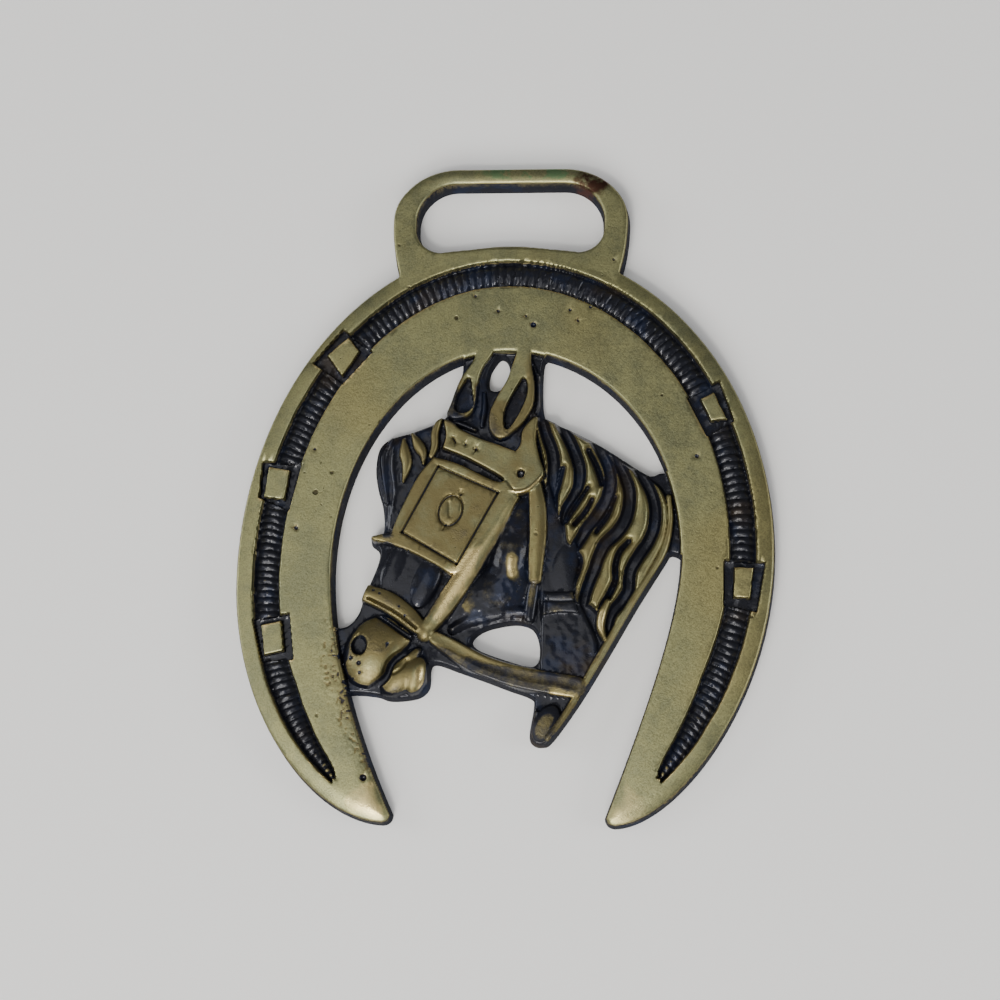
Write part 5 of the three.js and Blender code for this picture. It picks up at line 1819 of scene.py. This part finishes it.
    def _dress(
        self, piece: bpy.types.Object, relief: Relief, inside: np.ndarray, stains: Dict[str, np.ndarray]
    ) -> None:
        """Stores grime and wear on the mesh, with painted shade on the walls and the rim and painted
        highlights in the wear, and gives it its finish.

        Args:
            piece: The piece.
            relief: The relief.
            inside: Distance to the whole outline.
            stains: Grime, and wear with painted highlights, over the grid.
        """
        grid, mesh = relief.grid, piece.data
        co = np.empty(3 * len(mesh.vertices), np.float32)
        mesh.vertices.foreach_get("co", co)
        x, y, z = (co.reshape(-1, 3) / MM).T
        height = np.where(inside > DRAFT, relief.height, 0.0)
        room = grid.sample(inside, x, y)
        on_wall = smooth_step(0.25, 0.6, grid.sample(height, x, y) - z)
        on_wall = np.maximum(on_wall, smooth_step(DRAFT, DRAFT - 0.12, room) * smooth_step(2.6, 2.2, z))
        # The rim's outermost strip is darkened: painted shade.
        rim = smooth_step(DRAFT + 0.11, DRAFT + 0.01, room) * (z > 1.0)
        on_back = (z < 1e-6) & (room > 2 * DRAFT)
        grime_and_shade = np.maximum(grid.sample(stains["grime_and_shade"], x, y), self.rim_painted_shade * rim)
        wear_and_highlight = grid.sample(stains["wear_and_highlight"], x, y) * (1 - rim)
        # The walls are darkened fully: patina with painted shade.
        shares = {
            "grime_and_shade": (grime_and_shade, self.wall_patina_and_shade, self.back_grime),
            "wear_and_highlight": (wear_and_highlight, 0.0, 0.0),
            "side": (rim, 1.0, 0.0),
        }
        for name, (value, wall, back) in shares.items():
            value = np.where(on_back, back, value + (wall - value) * on_wall)
            store = mesh.attributes.new(name, "FLOAT", "POINT")
            store.data.foreach_set("value", value.astype(np.float32))
        mesh.shade_smooth()
        mesh.set_sharp_from_angle(angle=math.radians(self.sharp_angle))
        even = piece.modifiers.new("even_shading", "WEIGHTED_NORMAL")
        even.keep_sharp, even.weight, even.thresh = True, 60, 0.01
        mesh.materials.append(self.finish.material())


@dataclass(frozen=True)
class SoftBox:
    """An area light that faces the brass."""

    name: str
    place: Tuple[float, float, float]
    size: Tuple[float, float]
    power: float
    colour: Tuple[float, float, float] = (1.0, 1.0, 1.0)

    def build(self) -> bpy.types.Object:
        """Makes the light."""
        data = bpy.data.lights.new(self.name, "AREA")
        data.shape = "RECTANGLE"
        data.size, data.size_y = self.size
        data.energy, data.color = self.power, self.colour
        light = bpy.data.objects.new(self.name, data)
        light.location = self.place
        light.rotation_euler = (-Vector(self.place)).to_track_quat("-Z", "Y").to_euler()
        bpy.context.scene.collection.objects.link(light)
        return light


@dataclass
class Studio:
    """Floor, lights, world and the camera at the photograph's viewing angle."""

    floor_half: float = 1.5
    floor_drop: float = 0.00002
    world: Colour = (0.97, 0.98, 1.0, 1.0)
    world_strength: float = 0.22
    boxes: Sequence[SoftBox] = (
        SoftBox("key", (-0.15, -0.75, 0.55), (0.6, 0.4), 5.2, (1.0, 0.98, 0.94)),
        SoftBox("top", (-0.22, -0.20, 0.88), (1.0, 0.8), 3.1, (1.0, 0.99, 0.97)),
        SoftBox("front", (-0.20, -0.48, 0.75), (0.20, 0.14), 2.5, (1.0, 0.97, 0.92)),
        SoftBox("left", (-0.85, 0.1, 0.35), (0.5, 0.3), 2.2, (0.97, 0.98, 1.0)),
        SoftBox("right", (0.85, -0.05, 0.35), (0.5, 0.3), 2.2, (0.97, 0.98, 1.0)),
    )
    focus: Tuple[float, float, float] = (0.35, -2.18, 3.0)
    distance: float = 260.0
    lean: Tuple[float, float] = (5.0, 13.0)
    roll: float = 0.022
    focal_pixels: float = 2006.2
    picture: float = 1000.0
    sensor: float = 36.0
    middle_x: float = 506.5

    def build(self) -> List[bpy.types.Object]:
        """Sets up the studio and returns its pieces that aren't part of the brass."""
        world = bpy.data.worlds.new("studio")
        world.use_nodes = True
        background = world.node_tree.nodes["Background"]
        background.inputs[0].default_value = self.world
        background.inputs[1].default_value = self.world_strength
        bpy.context.scene.world = world
        half = self.floor_half
        floor = bpy.data.meshes.new("floor")
        corners = [(-half, -half, 0), (half, -half, 0), (half, half, 0), (-half, half, 0)]
        floor.from_pydata(corners, [], [(0, 1, 2, 3)])
        floor.materials.append(PaleTable().material())
        table = bpy.data.objects.new("floor", floor)
        table.location.z = -self.floor_drop
        bpy.context.scene.collection.objects.link(table)
        for box in self.boxes:
            box.build()
        self.camera()
        return [table]

    def camera(self) -> None:
        """Puts the camera where the photograph was taken from.

        From the focus it lies along (tan of the lean to +X, -tan of the lean to -Y, 1), and it is turned by
        the roll.
        """
        to_right, to_front = (math.tan(math.radians(angle)) for angle in self.lean)
        back = Vector((to_right, -to_front, 1.0)).normalized()
        up = (Vector((0, 1, 0)) - back * back.y).normalized()
        right = up.cross(back)
        c, s = math.cos(self.roll), math.sin(self.roll)
        right, up = right * c + up * s, up * c - right * s
        data = bpy.data.cameras.new("camera")
        data.sensor_width = self.sensor
        data.lens = self.sensor * self.focal_pixels / self.picture
        data.shift_x = (self.picture / 2 - self.middle_x) / self.picture
        data.clip_start, data.clip_end = 0.01, 10.0
        camera = bpy.data.objects.new("camera", data)
        turn = Matrix((right, up, back)).transposed().to_4x4()
        camera.matrix_world = Matrix.Translation((Vector(self.focus) + back * self.distance) * MM) @ turn
        bpy.context.scene.collection.objects.link(camera)
        bpy.context.scene.camera = camera


def main() -> None:
    """Loads the frame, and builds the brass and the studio."""
    logging.basicConfig(level=logging.INFO, format="%(name)s: %(message)s")
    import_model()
    brass = Casting().build()
    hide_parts(NODE)
    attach(brass, "root")
    for piece in Studio().build():
        log.info("%s: staged", piece.name)


if __name__ == "__main__":
    main()
